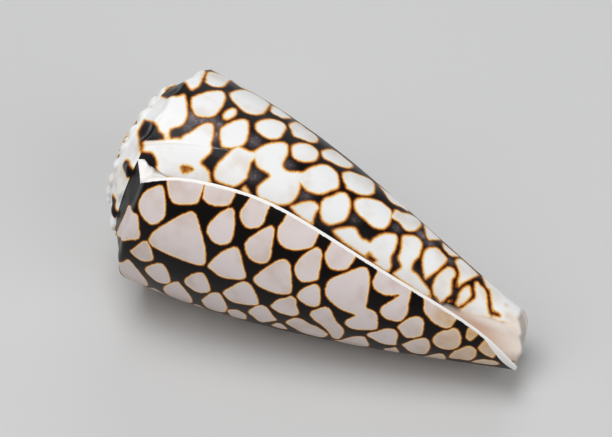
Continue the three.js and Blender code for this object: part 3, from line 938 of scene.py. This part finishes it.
def pad_notch(lip, canvas):
    """Spreads the lip's edge over the whorl before it, from the seam to the pad's end."""
    edge = to_pixels(lip[0])
    end = int(np.argmin(np.linalg.norm(edge - PAD_END, axis=1)))
    steps = np.linalg.norm(np.diff(edge[1:end + 1], axis=0), axis=1)
    shares = np.concatenate([[0.0], np.cumsum(steps)]) / steps.sum()
    start = to_pixels(lip[-1, 0])
    half = LIP_ROWS // 2
    for row, share in enumerate(shares, start=1):
        seen = canvas.cast(start * (1.0 - share) + np.array(PAD_END) * share)
        if seen is None:
            continue
        target = np.array(seen[0] + seen[2] * PAD_SINK * MM)
        weight = 1.0 - smoothstep(share, *PAD_FADE)
        outer = lip[0, row].copy()
        inner = lip[-1, row].copy()
        for line in range(1, LIP_ROWS):
            part = line / half
            if part <= 1.0:
                flat = outer + (target - outer) * part
            else:
                flat = target + (inner - target) * (part - 1.0)
            lip[line, row] += weight * (flat - lip[line, row])


def rounded(outline, per_side=4):
    """A closed smooth curve through an outline's points."""
    before = np.roll(outline, 1, axis=0)
    after = np.roll(outline, -1, axis=0)
    beyond = np.roll(outline, -2, axis=0)
    curve = []
    for t in np.arange(per_side) / per_side:
        curve.append(0.5 * (2.0 * outline + (after - before) * t
                            + (2.0 * before - 5.0 * outline + 4.0 * after - beyond) * t ** 2
                            + (3.0 * outline - before - 3.0 * after + beyond) * t ** 3))
    return np.stack(curve, axis=1).reshape(-1, 2)


def outline_distance(points, outline):
    """Distance to a closed outline, negative inside it."""
    nearest = np.full(len(points), np.inf)
    inside = np.zeros(len(points), dtype=bool)
    for start, end in zip(outline, np.roll(outline, -1, axis=0)):
        side = end - start
        length = max(side @ side, TINY)
        offset = points - start
        share = np.clip(offset @ side / length, 0.0, 1.0)
        gap = offset - share[:, None] * side
        nearest = np.minimum(nearest, (gap ** 2).sum(axis=1))
        crosses = (start[1] > points[:, 1]) != (end[1] > points[:, 1])
        rise = side[1] if side[1] else TINY
        inside ^= crosses & (points[:, 0] < start[0] + (points[:, 1] - start[1]) * side[0] / rise)
    return np.where(inside, -1.0, 1.0) * np.sqrt(nearest)


def soft_corner(borders):
    """The nearest of several borders, rounded off where two of them meet."""
    if len(borders) == 1:
        return borders[0]
    second, nearest = np.sort(np.stack(borders), axis=0)[-2:]
    corner = np.maximum(TENT_ROUNDING - (nearest - second), 0.0)
    return nearest + corner ** 2 / (4.0 * TENT_ROUNDING)


def flat_scale(radius):
    """Turns and reaches to millimetres on the shell, at a radius."""
    return np.array([FULL_TURN * radius, 1.0])


class Paint:
    """Distances to the white patches at every point of the outside, in groups whose patches keep apart."""

    def __init__(self, paint):
        self.shapes = {name: paint[name].shape[:2] for name in OUTSIDE}
        self.coordinates = np.concatenate([paint[name].reshape(-1, 5) for name in OUTSIDE])
        self.fields = np.full((len(self.coordinates), FIELD_GROUPS), CLEAR)
        self.spots = np.zeros((len(self.coordinates), 2))

    def local(self, centre, radius, size):
        """Points within a size of a centre, in flat millimetres round it."""
        across = (self.coordinates[:, 0] - centre[0]) * FULL_TURN * radius
        down = self.coordinates[:, 1] - centre[1]
        near = np.flatnonzero((np.abs(across) < size) & (np.abs(down) < size))
        return near, np.stack([across[near], down[near]], axis=1)

    def nearest(self, spot):
        turns = (self.coordinates[:, 0] - spot[0]) * FULL_TURN * SHOULDER_RADIUS
        return np.argmin(turns ** 2 + (self.coordinates[:, 1] - spot[1]) ** 2)

    def radius_at(self, spot):
        return self.coordinates[self.nearest(spot), 2]

    def add(self, outline, clip=None, middle=None, neighbours=()):
        """Lays one white patch, given as turns and reaches; its middle keeps clear of its neighbours'."""
        centre = outline.mean(axis=0) if middle is None else middle
        radius = self.radius_at(centre)
        flat = (outline - centre) * flat_scale(radius)
        near, points = self.local(centre, radius, np.abs(flat).max() + CLEAR)
        borders = [outline_distance(points, rounded(flat))]
        if clip is not None:
            borders.append(clip[near])
        for other in neighbours:
            offset = (other - middle) * flat_scale(radius)
            apart = np.linalg.norm(offset)
            if 0.0 < apart < 2.0 * TENT_SIZE:
                borders.append(points @ offset / apart - 0.5 * apart + 0.5 * TENT_GAP)
        distance = soft_corner(borders)
        close = near[distance < KEEP_APART]
        if len(close) == 0:
            return
        taken = (self.fields[close] < KEEP_APART).sum(axis=0)
        group = int(np.argmin(taken))
        self.fields[near, group] = np.minimum(self.fields[near, group], distance)

    def cut(self, outline, darkest=CLEAR):
        """Takes a dark mark out of the white."""
        centre = outline.mean(axis=0)
        radius = self.radius_at(centre)
        flat = (outline - centre) * flat_scale(radius)
        near, points = self.local(centre, radius, np.abs(flat).max() + CLEAR)
        distance = outline_distance(points, rounded(flat))
        self.fields[near] = np.maximum(self.fields[near], np.minimum(-distance, darkest)[:, None])

    def whiten(self, points, distance):
        """Makes points at least as white as a distance says."""
        self.fields[points, 0] = np.minimum(self.fields[points, 0], distance)

    def soft_spot(self, spot, size, strength, layer):
        near, points = self.local(spot, self.radius_at(spot), SPOT_REACH * size)
        soft = strength * np.exp(-(points ** 2).sum(axis=1) / (2.0 * (SPOT_SOFTNESS * size) ** 2))
        self.spots[near, layer] = np.maximum(self.spots[near, layer], soft)

    def split(self, *columns):
        """Values of all points, back on their sheets."""
        values = np.stack(columns, axis=1)
        grids = {}
        start = 0
        for name, (sections, rows) in self.shapes.items():
            grids[name] = values[start:start + sections * rows].reshape(sections, rows, -1)
            start += sections * rows
        return grids


def paint_photo_side(marks, lip_canvas, body_canvas, lip_edge):
    """The markings that the photograph shows, on the lip's half whorl and on the whorl before."""
    for name, outline in LIP_PATCHES.items():
        spots = lip_canvas.outline(outline)
        marks.add(meet_lip(spots, lip_edge) if name in AT_LIP else spots)
    for outline in BODY_PATCHES.values():
        marks.add(body_canvas.outline(outline))
    marks.cut(body_canvas.outline(LIP_SPOT))
    marks.cut(body_canvas.outline(AMBER_SPOT), AMBER)
    soft_spots = [
        (lip_canvas, LIP_STAINS, STAIN_LAYER),
        (body_canvas, BODY_STAINS, STAIN_LAYER),
        (body_canvas, BODY_WEAR, WEAR_LAYER),
    ]
    for canvas, spots, layer in soft_spots:
        for pixel, size, strength in spots:
            marks.soft_spot(canvas.find_near(pixel), size, strength, layer)


def tent_size(radius):
    return TENT_SIZE * (SMALLEST_TENT + (1.0 - SMALLEST_TENT) * radius / SHOULDER_RADIUS)


def tent(centre, radius, size, random):
    """A rounded tent, its point towards the lip."""
    lean = random.uniform(-TENT_LEAN, TENT_LEAN)
    shape = np.array(TENT_SHAPE) * random.uniform(*TENT_JITTER, (len(TENT_SHAPE), 1)) * TENT_SPREAD * size
    turned = shape @ np.array([[math.cos(lean), math.sin(lean)], [-math.sin(lean), math.cos(lean)]])
    return np.array(centre) + turned / flat_scale(radius)


def far_side_centres(marks, clip, last_reach, random):
    """Places for tents where the photograph doesn't show the side: as close as their sizes allow."""
    centres = []
    sizes = []
    for turn, reach in random.uniform((FAR_TURNS[0], 0.0), (FAR_TURNS[1], last_reach), (DARTS, 2)):
        nearest = marks.nearest((turn, reach))
        radius = marks.coordinates[nearest, 2]
        size = tent_size(radius)
        if clip[nearest] > -DART_MARGIN * size:
            continue
        if centres:
            offsets = (np.array(centres) - (turn, reach)) * flat_scale(radius)
            apart = np.linalg.norm(offsets, axis=1)
            if (apart < DART_SPACING * 0.5 * (size + np.array(sizes))).any():
                continue
        centres.append((turn, reach))
        sizes.append(size)
    return np.array(centres)


def paint_far_side(marks, facing, last_reach, random):
    """Tents over the rest of the last whorl. Gives the clip that keeps them off what the photograph shows."""
    seen = np.where(marks.coordinates[:, 0] > -1.0, MM_PER_FACING * (facing - FACING_LIMIT), -CLEAR)
    clip = np.maximum(seen, TENT_GAP - marks.fields.min(axis=1))
    centres = far_side_centres(marks, clip, last_reach, random)
    for centre in centres:
        radius = marks.radius_at(centre)
        marks.add(tent(centre, radius, tent_size(radius), random), clip, centre, centres)
    return clip


class Spire:
    """The spire's markings: patches on the last whorl's ramp, and white older whorls with dark squares."""

    def __init__(self, marks, points, paint, facing, random):
        self.marks = marks
        self.paint = paint
        self.facing = facing
        self.random = random
        self.count = paint[..., 0].size
        self.growth = marks.coordinates[:self.count, 4]
        self.older = self.growth < -1.0
        self.in_view = facing[:self.count] > 0.0
        self.shown = np.flatnonzero(self.in_view & self.older)
        flat = points.reshape(self.count, 3)
        self.pixels = to_pixels(flat)
        self.strip = outline_distance(self.pixels, np.array(OLD_STRIP)) / PIXELS_PER_MM
        self.depth = (flat - np.array(CAMERA_PLACE)) @ -np.array(CAMERA_BACK)

    def ramp(self, growth):
        """Reaches of a growth line's seam and crest, the crest's radius and its point's number."""
        station = min(round((growth - FIRST_WHORL) * STATIONS_PER_WHORL), len(self.paint) - 1)
        seam, crest = self.paint[station, (0, RAMP_ROWS), 1]
        return seam, crest, self.paint[station, RAMP_ROWS, 2], station * (COVER_ROW + 1) + RAMP_ROWS

    def patch(self, growth, first, last, half_width):
        """A rounded square between two reaches."""
        half = np.array([half_width / KNOBS_PER_WHORL, 0.5 * (last - first)])
        shape = np.array(SPIRE_PATCH) * self.random.uniform(*SPIRE_JITTER, (len(SPIRE_PATCH), 1)) * half
        return np.array([growth, 0.5 * (first + last)]) + shape

    def cut_square(self, growth, seam, crest, half_width):
        self.marks.cut(self.patch(growth, crest - SQUARE_HEIGHT * (crest - seam), 0.0, half_width))

    def whiten_older(self):
        """White above the seam line, and all over where the photograph shows the older whorls."""
        older = np.flatnonzero(self.older)
        self.marks.whiten(older, self.marks.coordinates[older, 1] + SEAM_LINE)
        in_strip = (self.strip[self.shown] < 0.0) & (self.growth[self.shown] > OLDEST_SEEN)
        self.marks.whiten(self.shown[in_strip], WHITE_DEPTH)

    def paint_knobs(self, far_clip):
        """A patch on every knob and one between them by the seam; on older whorls a square between them."""
        near_clip = TENT_GAP - self.marks.fields.min(axis=1)
        far_clip = np.maximum(far_clip, near_clip)
        self.whiten_older()
        for number in range(round(-FIRST_WHORL * KNOBS_PER_WHORL)):
            on_knob = -number / KNOBS_PER_WHORL
            between = on_knob - 0.5 / KNOBS_PER_WHORL
            seam, crest, radius, crest_point = self.ramp(between)
            height = crest - seam
            ramp_seen = self.facing[crest_point - RAMP_ROWS // 2] > 0.0
            if between < -1.0:
                in_strip = self.facing[crest_point] > SQUARE_FACING and self.strip[crest_point] < 0.0
                if not (between > OLDEST_SEEN and in_strip):
                    self.cut_square(between, seam, crest, SQUARE_WIDTH)
            elif not (between > NEAR_LIP and ramp_seen):
                by_seam = self.patch(between, seam, seam + SEAM_PATCH_HEIGHT * height, SEAM_PATCH_WIDTH)
                self.marks.add(by_seam, near_clip if between > NEAR_LIP else far_clip)
            start = seam + KNOB_PATCH_START * height
            if on_knob > NEAR_LIP:
                if not ramp_seen:
                    end = crest - KNOB_PATCH_GAP * height
                    self.marks.add(self.patch(on_knob, start, end, KNOB_PATCH_WIDTH), near_clip)
            elif on_knob > -1.0:
                end = KNOB_PATCH_REACH * radius
                self.marks.add(self.patch(on_knob, start, end, KNOB_PATCH_WIDTH), far_clip)

    def paint_traced(self):
        """The dark squares and the white strip as the photograph shows them."""
        for pixel in OLD_SQUARES:
            near = self.shown[np.linalg.norm(self.pixels[self.shown] - pixel, axis=1) < PLACE_PIXELS]
            growth = self.growth[near[np.argmin(self.depth[near])]]
            seam, crest, _, _ = self.ramp(growth)
            self.cut_square(growth, seam, crest, TRACED_SQUARE_WIDTH)
        beside = np.flatnonzero(self.in_view & ~self.older & (self.growth < STRIP_TURNS))
        self.marks.whiten(beside, self.strip[beside])


def scar_distance(marks, canvas):
    """Distance to the scar of the older lip, growing along it so that it fades out."""
    spots = canvas.line(SCAR)
    middle = spots.mean(axis=0)
    radius = marks.radius_at(middle)
    scale = flat_scale(radius)
    scar = np.full(len(marks.coordinates), CLEAR)
    near, points = marks.local(middle, radius, SCAR_ROOM)
    for step, (start, end) in enumerate(zip(spots[:-1], spots[1:])):
        side = (end - start) * scale
        offset = points - (start - middle) * scale
        share = np.clip(offset @ side / (side @ side), 0.0, 1.0)
        gap = np.linalg.norm(offset - share[:, None] * side, axis=1)
        faded = gap + SCAR_REACH * (step + share) / (len(spots) - 1.0)
        scar[near] = np.minimum(scar[near], faded)
    return scar


def paint_layers(marks, paint, canvas):
    """Everything that the material reads, as three values a point for each layer."""
    turn, reach, radius, growth_line, growth = marks.coordinates.T
    on_spire = np.arange(len(turn)) < paint["spire"][..., 0].size
    to_end = np.concatenate([(paint[name][:, -1:, 1] - paint[name][..., 1]).ravel() for name in OUTSIDE])

    glaze_spots = canvas.line(GLAZE_EDGE)
    glaze_spots = glaze_spots[np.argsort(glaze_spots[:, 1])]
    glaze_turn = np.interp(reach, glaze_spots[:, 1], glaze_spots[:, 0], left=GLAZE_SEAM_TURN)
    glaze = smoothstep((glaze_turn - turn) * FULL_TURN * radius, *GLAZE_SOFTNESS)
    glaze[on_spire] = 0.0
    # A darker band deep in the mouth: painted shade of its hollow
    shade_band = smoothstep(turn, *SHADE_BAND_START_TURNS) * smoothstep(turn, *SHADE_BAND_END_TURNS)
    shade_band = shade_band * smoothstep(to_end, *SHADE_BAND_REACH)

    to_lip = np.clip(-growth * FULL_TURN * radius, 0.0, LIP_ROOM)
    to_lip[~on_spire] -= LIP_WIDENING * (1.0 - smoothstep(to_end[~on_spire], *LIP_WIDENING_REACH))
    to_lip[turn < LIP_SIDE_TURN] = LIP_ROOM

    return {
        "tents_a": marks.split(*marks.fields[:, :3].T),
        "tents_b": marks.split(*marks.fields[:, 3:].T),
        "coil": marks.split(growth_line, reach, turn),
        "finish": marks.split(to_lip, *marks.spots.T),
        "glaze": marks.split(glaze, shade_band, scar_distance(marks, canvas)),
    }


def make_sheet(name, points, values):
    """A grid whose points follow the shell's growth, with its paint stored at its faces' corners."""
    sections, rows = points.shape[:2]
    bpy.ops.object.select_all(action="DESELECT")
    bpy.ops.mesh.primitive_grid_add(x_subdivisions=rows - 1, y_subdivisions=sections - 1, size=2.0)
    sheet = bpy.context.object
    sheet.name = name
    mesh = sheet.data
    flat = np.empty(len(mesh.vertices) * 3)
    mesh.vertices.foreach_get("co", flat)
    flat = flat.reshape(-1, 3)
    order = np.lexsort((flat[:, 0].round(6), flat[:, 1].round(6)))
    flat[order] = points.reshape(-1, 3)
    mesh.vertices.foreach_set("co", flat.ravel())
    corner_vertex = np.empty(len(mesh.loops), dtype=np.int32)
    mesh.loops.foreach_get("vertex_index", corner_vertex)
    for label, grid in values.items():
        by_vertex = np.empty((len(flat), 3))
        by_vertex[order] = grid.reshape(-1, 3)
        layer = mesh.attributes.new(label, "FLOAT_VECTOR", "CORNER")
        layer.data.foreach_set("vector", by_vertex[corner_vertex].ravel())
    mesh.update()
    return sheet


def make_shell(laid, layers):
    """All sheets joined into one closed, smooth mesh."""
    sheets = []
    for name, points in laid.items():
        if name in OUTSIDE:
            values = {label: grids[name] for label, grids in layers.items()}
        else:
            values = {label: np.zeros(points.shape) + level for label, level in PLAIN.items()}
        if name == "lip":
            values["glaze"] = np.zeros(points.shape) + LIP_GLAZE
        sheets.append(make_sheet("sheet_" + name, points, values))
    bpy.ops.object.select_all(action="DESELECT")
    for sheet in sheets:
        sheet.select_set(True)
    bpy.context.view_layer.objects.active = sheets[0]
    bpy.ops.object.join()
    shell = bpy.context.object
    shell.name = "cone_shell"
    bpy.ops.object.mode_set(mode="EDIT")
    bpy.ops.mesh.select_all(action="SELECT")
    bpy.ops.mesh.remove_doubles(threshold=MERGE_DISTANCE)
    bpy.ops.mesh.fill_holes(sides=0)
    bpy.ops.object.mode_set(mode="OBJECT")
    bpy.ops.object.shade_smooth()
    return shell


def colour(screen_values):
    """A colour given in 0-255 screen values, as linear light."""
    screen = np.array(screen_values) / 255.0
    linear = np.where(screen <= 0.04045, screen / 12.92, ((screen + 0.055) / 1.055) ** 2.4)
    return (*linear, 1.0)


class Nodes:
    """Short ways to add and join a material's nodes."""

    def __init__(self, material):
        material.use_nodes = True
        self.tree = material.node_tree
        self.surface = self.tree.nodes["Principled BSDF"]
        self.place = self.add("ShaderNodeTexCoord").outputs["Object"]

    def add(self, kind, settings=(), **inputs):
        """A node with its settings; inputs are named i and their number."""
        node = self.tree.nodes.new(kind)
        for key, value in dict(settings).items():
            setattr(node, key, value)
        for key, value in inputs.items():
            self.feed(node.inputs[int(key[1:])], value)
        return node

    def feed(self, socket, value):
        if isinstance(value, bpy.types.NodeSocket):
            self.tree.links.new(value, socket)
        else:
            socket.default_value = value

    def math(self, operation, first, second):
        return self.add("ShaderNodeMath", {"operation": operation}, i0=first, i1=second).outputs[0]

    def times(self, first, second):
        return self.math("MULTIPLY", first, second)

    def plus(self, first, second):
        return self.math("ADD", first, second)

    def step(self, value, start, end):
        """0 to 1 as a value goes from start to end, eased."""
        eased = {"interpolation_type": "SMOOTHSTEP"}
        return self.add("ShaderNodeMapRange", eased, i0=value, i1=start, i2=end).outputs[0]

    def blend(self, share, first, second, kind="MIX"):
        node = self.add("ShaderNodeMix", {"data_type": "RGBA", "blend_type": kind}, i0=share)
        self.feed(node.inputs[6], first)
        self.feed(node.inputs[7], second)
        return node.outputs[2]

    def layer(self, name):
        reader = self.add("ShaderNodeAttribute", {"attribute_name": name})
        return self.add("ShaderNodeSeparateXYZ", i0=reader.outputs["Vector"]).outputs

    def noise(self, scale, detail, vector=None):
        node = self.add("ShaderNodeTexNoise")
        self.feed(node.inputs["Vector"], self.place if vector is None else vector)
        node.inputs["Scale"].default_value = scale
        node.inputs["Detail"].default_value = detail
        return node.outputs["Fac"]

    def ramp(self, value, stops):
        node = self.add("ShaderNodeValToRGB", i0=value)
        while len(node.color_ramp.elements) < len(stops):
            node.color_ramp.elements.new(0.5)
        for element, (position, tint) in zip(node.color_ramp.elements, stops):
            element.position = position
            element.color = tint
        return node.outputs["Color"]

    def bump(self, height, strength, normal=None):
        node = self.add("ShaderNodeBump")
        self.feed(node.inputs["Height"], height)
        if normal is not None:
            self.feed(node.inputs["Normal"], normal)
        node.inputs["Strength"].default_value = strength
        node.inputs["Distance"].default_value = BUMP_DISTANCE
        return node.outputs["Normal"]


def uneven(nodes, scale, detail, size):
    centred = nodes.math("SUBTRACT", nodes.noise(scale, detail), 0.5)
    return nodes.times(centred, size)


def white_colour(nodes, coil, old_whorl, mottling):
    """White of the patches: greyer and pinker near the lip, darker on the lower side as painted shade, warm
    at the narrow end, softly mottled.
    """
    # Painted shade: the white darkens on the lower side of the lip's whorl
    shaded_low_side = nodes.step(coil[2], *SHADED_SIDE_TURNS)
    young = nodes.blend(shaded_low_side, colour(YOUNG_WHITE), colour(SHADED_LOW_WHITE))
    warm = nodes.times(nodes.step(coil[1], *WARM_REACH), WARM_SHARE)
    young = nodes.blend(warm, young, colour(WARM_WHITE))
    white = nodes.blend(old_whorl, young, colour(OLD_WHITE))
    tinted = nodes.blend(1.0, white, colour(MOTTLE_TINT), "MULTIPLY")
    return nodes.blend(mottling, white, tinted)


def border_colour(nodes, edge):
    """From cream over amber and brown to black, across a patch's outline."""
    low, high = BORDER_RANGE
    share = nodes.add("ShaderNodeMapRange", i0=edge, i1=low, i2=high).outputs[0]
    return nodes.ramp(share, [((distance - low) / (high - low), colour(tint)) for distance, tint in BORDER])


def worn_and_stained(nodes, base, edge, finish):
    """Grey wear on the black and brown stains on the white, both broken up by noise."""
    dark = nodes.step(edge, *BLACK_START)
    light = nodes.math("SUBTRACT", 1.0, dark)
    layers = [
        (finish[2], dark, WEAR_NOISE, WEAR_RANGE, WEAR_STRENGTH, WORN_BLACK),
        (finish[1], light, STAIN_NOISE, STAIN_RANGE, STAIN_STRENGTH, STAIN),
    ]
    for amount, where, noise, noise_range, (broken, even), tint in layers:
        patchy = nodes.step(nodes.noise(*noise), *noise_range)
        strength = nodes.plus(nodes.times(patchy, broken), even)
        base = nodes.blend(nodes.times(nodes.times(amount, where), strength), base, colour(tint))
    return base


def shell_material():
    """Black net with amber borders round white patches, a white lip edge and a glazed pale inside with a band
    of painted shade deep in the mouth.
    """
    material = bpy.data.materials.new("marbled_shell")
    nodes = Nodes(material)
    coil = nodes.layer("coil")
    finish = nodes.layer("finish")
    glaze, shade_band, scar = nodes.layer("glaze")
    old_whorl = nodes.step(coil[2], *OLD_WHORL_TURNS)
    mottling = nodes.step(nodes.noise(*MOTTLE_NOISE), *MOTTLE_RANGE)

    # Distance to the nearest patch's outline, with a little unevenness
    nearest, *others = (*nodes.layer("tents_a"), *nodes.layer("tents_b"))
    for other in others:
        nearest = nodes.math("MINIMUM", nearest, other)
    unevenness = nodes.plus(uneven(nodes, *COARSE_NOISE), uneven(nodes, *FINE_NOISE))
    sharpness = nodes.add("ShaderNodeMapRange", i0=old_whorl, i3=YOUNG_SHARPNESS, i4=OLD_SHARPNESS).outputs[0]
    edge = nodes.times(nodes.plus(nearest, unevenness), sharpness)

    white = white_colour(nodes, coil, old_whorl, mottling)
    base = nodes.blend(nodes.step(edge, *BORDER_START), white, border_colour(nodes, edge))
    base = worn_and_stained(nodes, base, edge, finish)
    lip_edge = nodes.plus(finish[0], nodes.times(unevenness, LIP_UNEVENNESS))
    base = nodes.blend(nodes.step(lip_edge, *LIP_EDGE_RANGE), base, colour(LIP_WHITE))
    ridge = nodes.step(scar, SCAR_REACH, SCAR_TOP)
    base = nodes.blend(nodes.times(ridge, SCAR_STRENGTH), base, colour(SCAR_WHITE))
    inner = nodes.blend(mottling, colour(INNER_WHITE), colour(INNER_MOTTLE))
    # The band of painted shade deep in the mouth
    inner = nodes.blend(nodes.times(shade_band, SHADE_BAND_STRENGTH), inner, colour(INNER_SHADE))
    nodes.feed(nodes.surface.inputs["Base Color"], nodes.blend(glaze, base, inner))
    nodes.surface.inputs["Roughness"].default_value = ROUGHNESS
    nodes.surface.inputs["Specular IOR Level"].default_value = SPECULAR_LEVEL
    nodes.surface.inputs["Coat Weight"].default_value = COAT_WEIGHT
    nodes.surface.inputs["Coat Roughness"].default_value = COAT_ROUGHNESS

    # Fine growth lines along each earlier lip edge, and the ridge of the scar
    across = nodes.times(coil[0], LINES_PER_TURN)
    down = nodes.times(coil[1], LINE_STRETCH)
    stretched = nodes.add("ShaderNodeCombineXYZ", i0=across, i1=down).outputs[0]
    lines = nodes.bump(nodes.noise(*LINE_NOISE, stretched), LINE_BUMP)
    nodes.feed(nodes.surface.inputs["Normal"], nodes.bump(ridge, SCAR_BUMP, lines))
    return material


def add_floor():
    bpy.ops.mesh.primitive_plane_add(size=FLOOR_SIZE)
    ground = bpy.context.object
    ground.name = "floor"
    ground_paint = bpy.data.materials.new("pale_floor")
    ground_paint.use_nodes = True
    ground_paint.node_tree.nodes["Principled BSDF"].inputs["Base Color"].default_value = FLOOR_COLOUR
    ground.data.materials.append(ground_paint)
    return ground


def add_lamp(name, place, energy, size):
    """A square lamp turned to the shell."""
    bpy.ops.object.light_add(type="AREA", location=place)
    lamp = bpy.context.object
    lamp.name = name
    lamp.data.energy = energy
    lamp.data.size = size
    lamp.rotation_euler = (LAMP_TARGET - lamp.location).to_track_quat("-Z", "Y").to_euler()


def add_world():
    world = bpy.data.worlds.new("studio")
    world.use_nodes = True
    background = world.node_tree.nodes["Background"]
    background.inputs["Color"].default_value = WORLD_COLOUR
    background.inputs["Strength"].default_value = WORLD_STRENGTH
    bpy.context.scene.world = world


def add_camera():
    bpy.ops.object.camera_add(location=CAMERA_PLACE)
    camera = bpy.context.object
    camera.rotation_euler = CAMERA_TURN.to_euler()
    camera.data.sensor_width = SENSOR
    camera.data.lens = SENSOR * FOCAL_PIXELS / FRAME_WIDTH
    bpy.context.scene.camera = camera


# The shape
sheets, paint = all_sheets()
laid = lay_on_floor(sheets)
lip_canvas = Canvas(laid, paint, LIP_TURNS, LIP_MIDDLE, LIP_OUTWARDS, -1.0)
body_canvas = Canvas(laid, paint, BODY_TURNS, BODY_MIDDLE, BODY_OUTWARDS, 1.0)
pad_notch(laid["lip"], body_canvas)

# The markings: those in the photograph, then the far side's, then the spire's
random = np.random.default_rng(SEED)
facing = facing_camera(laid)
marks = Paint(paint)
paint_photo_side(marks, lip_canvas, body_canvas, paint["body"][-1])
far_clip = paint_far_side(marks, facing, paint["body"][0, -1, 1], random)
spire = Spire(marks, laid["spire"], paint["spire"], facing, random)
spire.paint_knobs(far_clip)
spire.paint_traced()

# The shell
shell = make_shell(laid, paint_layers(marks, paint, body_canvas))
shell.data.materials.clear()
shell.data.materials.append(shell_material())
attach(shell, "root")
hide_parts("shell")

# The studio
ground = add_floor()
for lamp in LAMPS:
    add_lamp(*lamp)
add_world()
add_camera()
bpy.context.scene.view_settings.view_transform = "Standard"
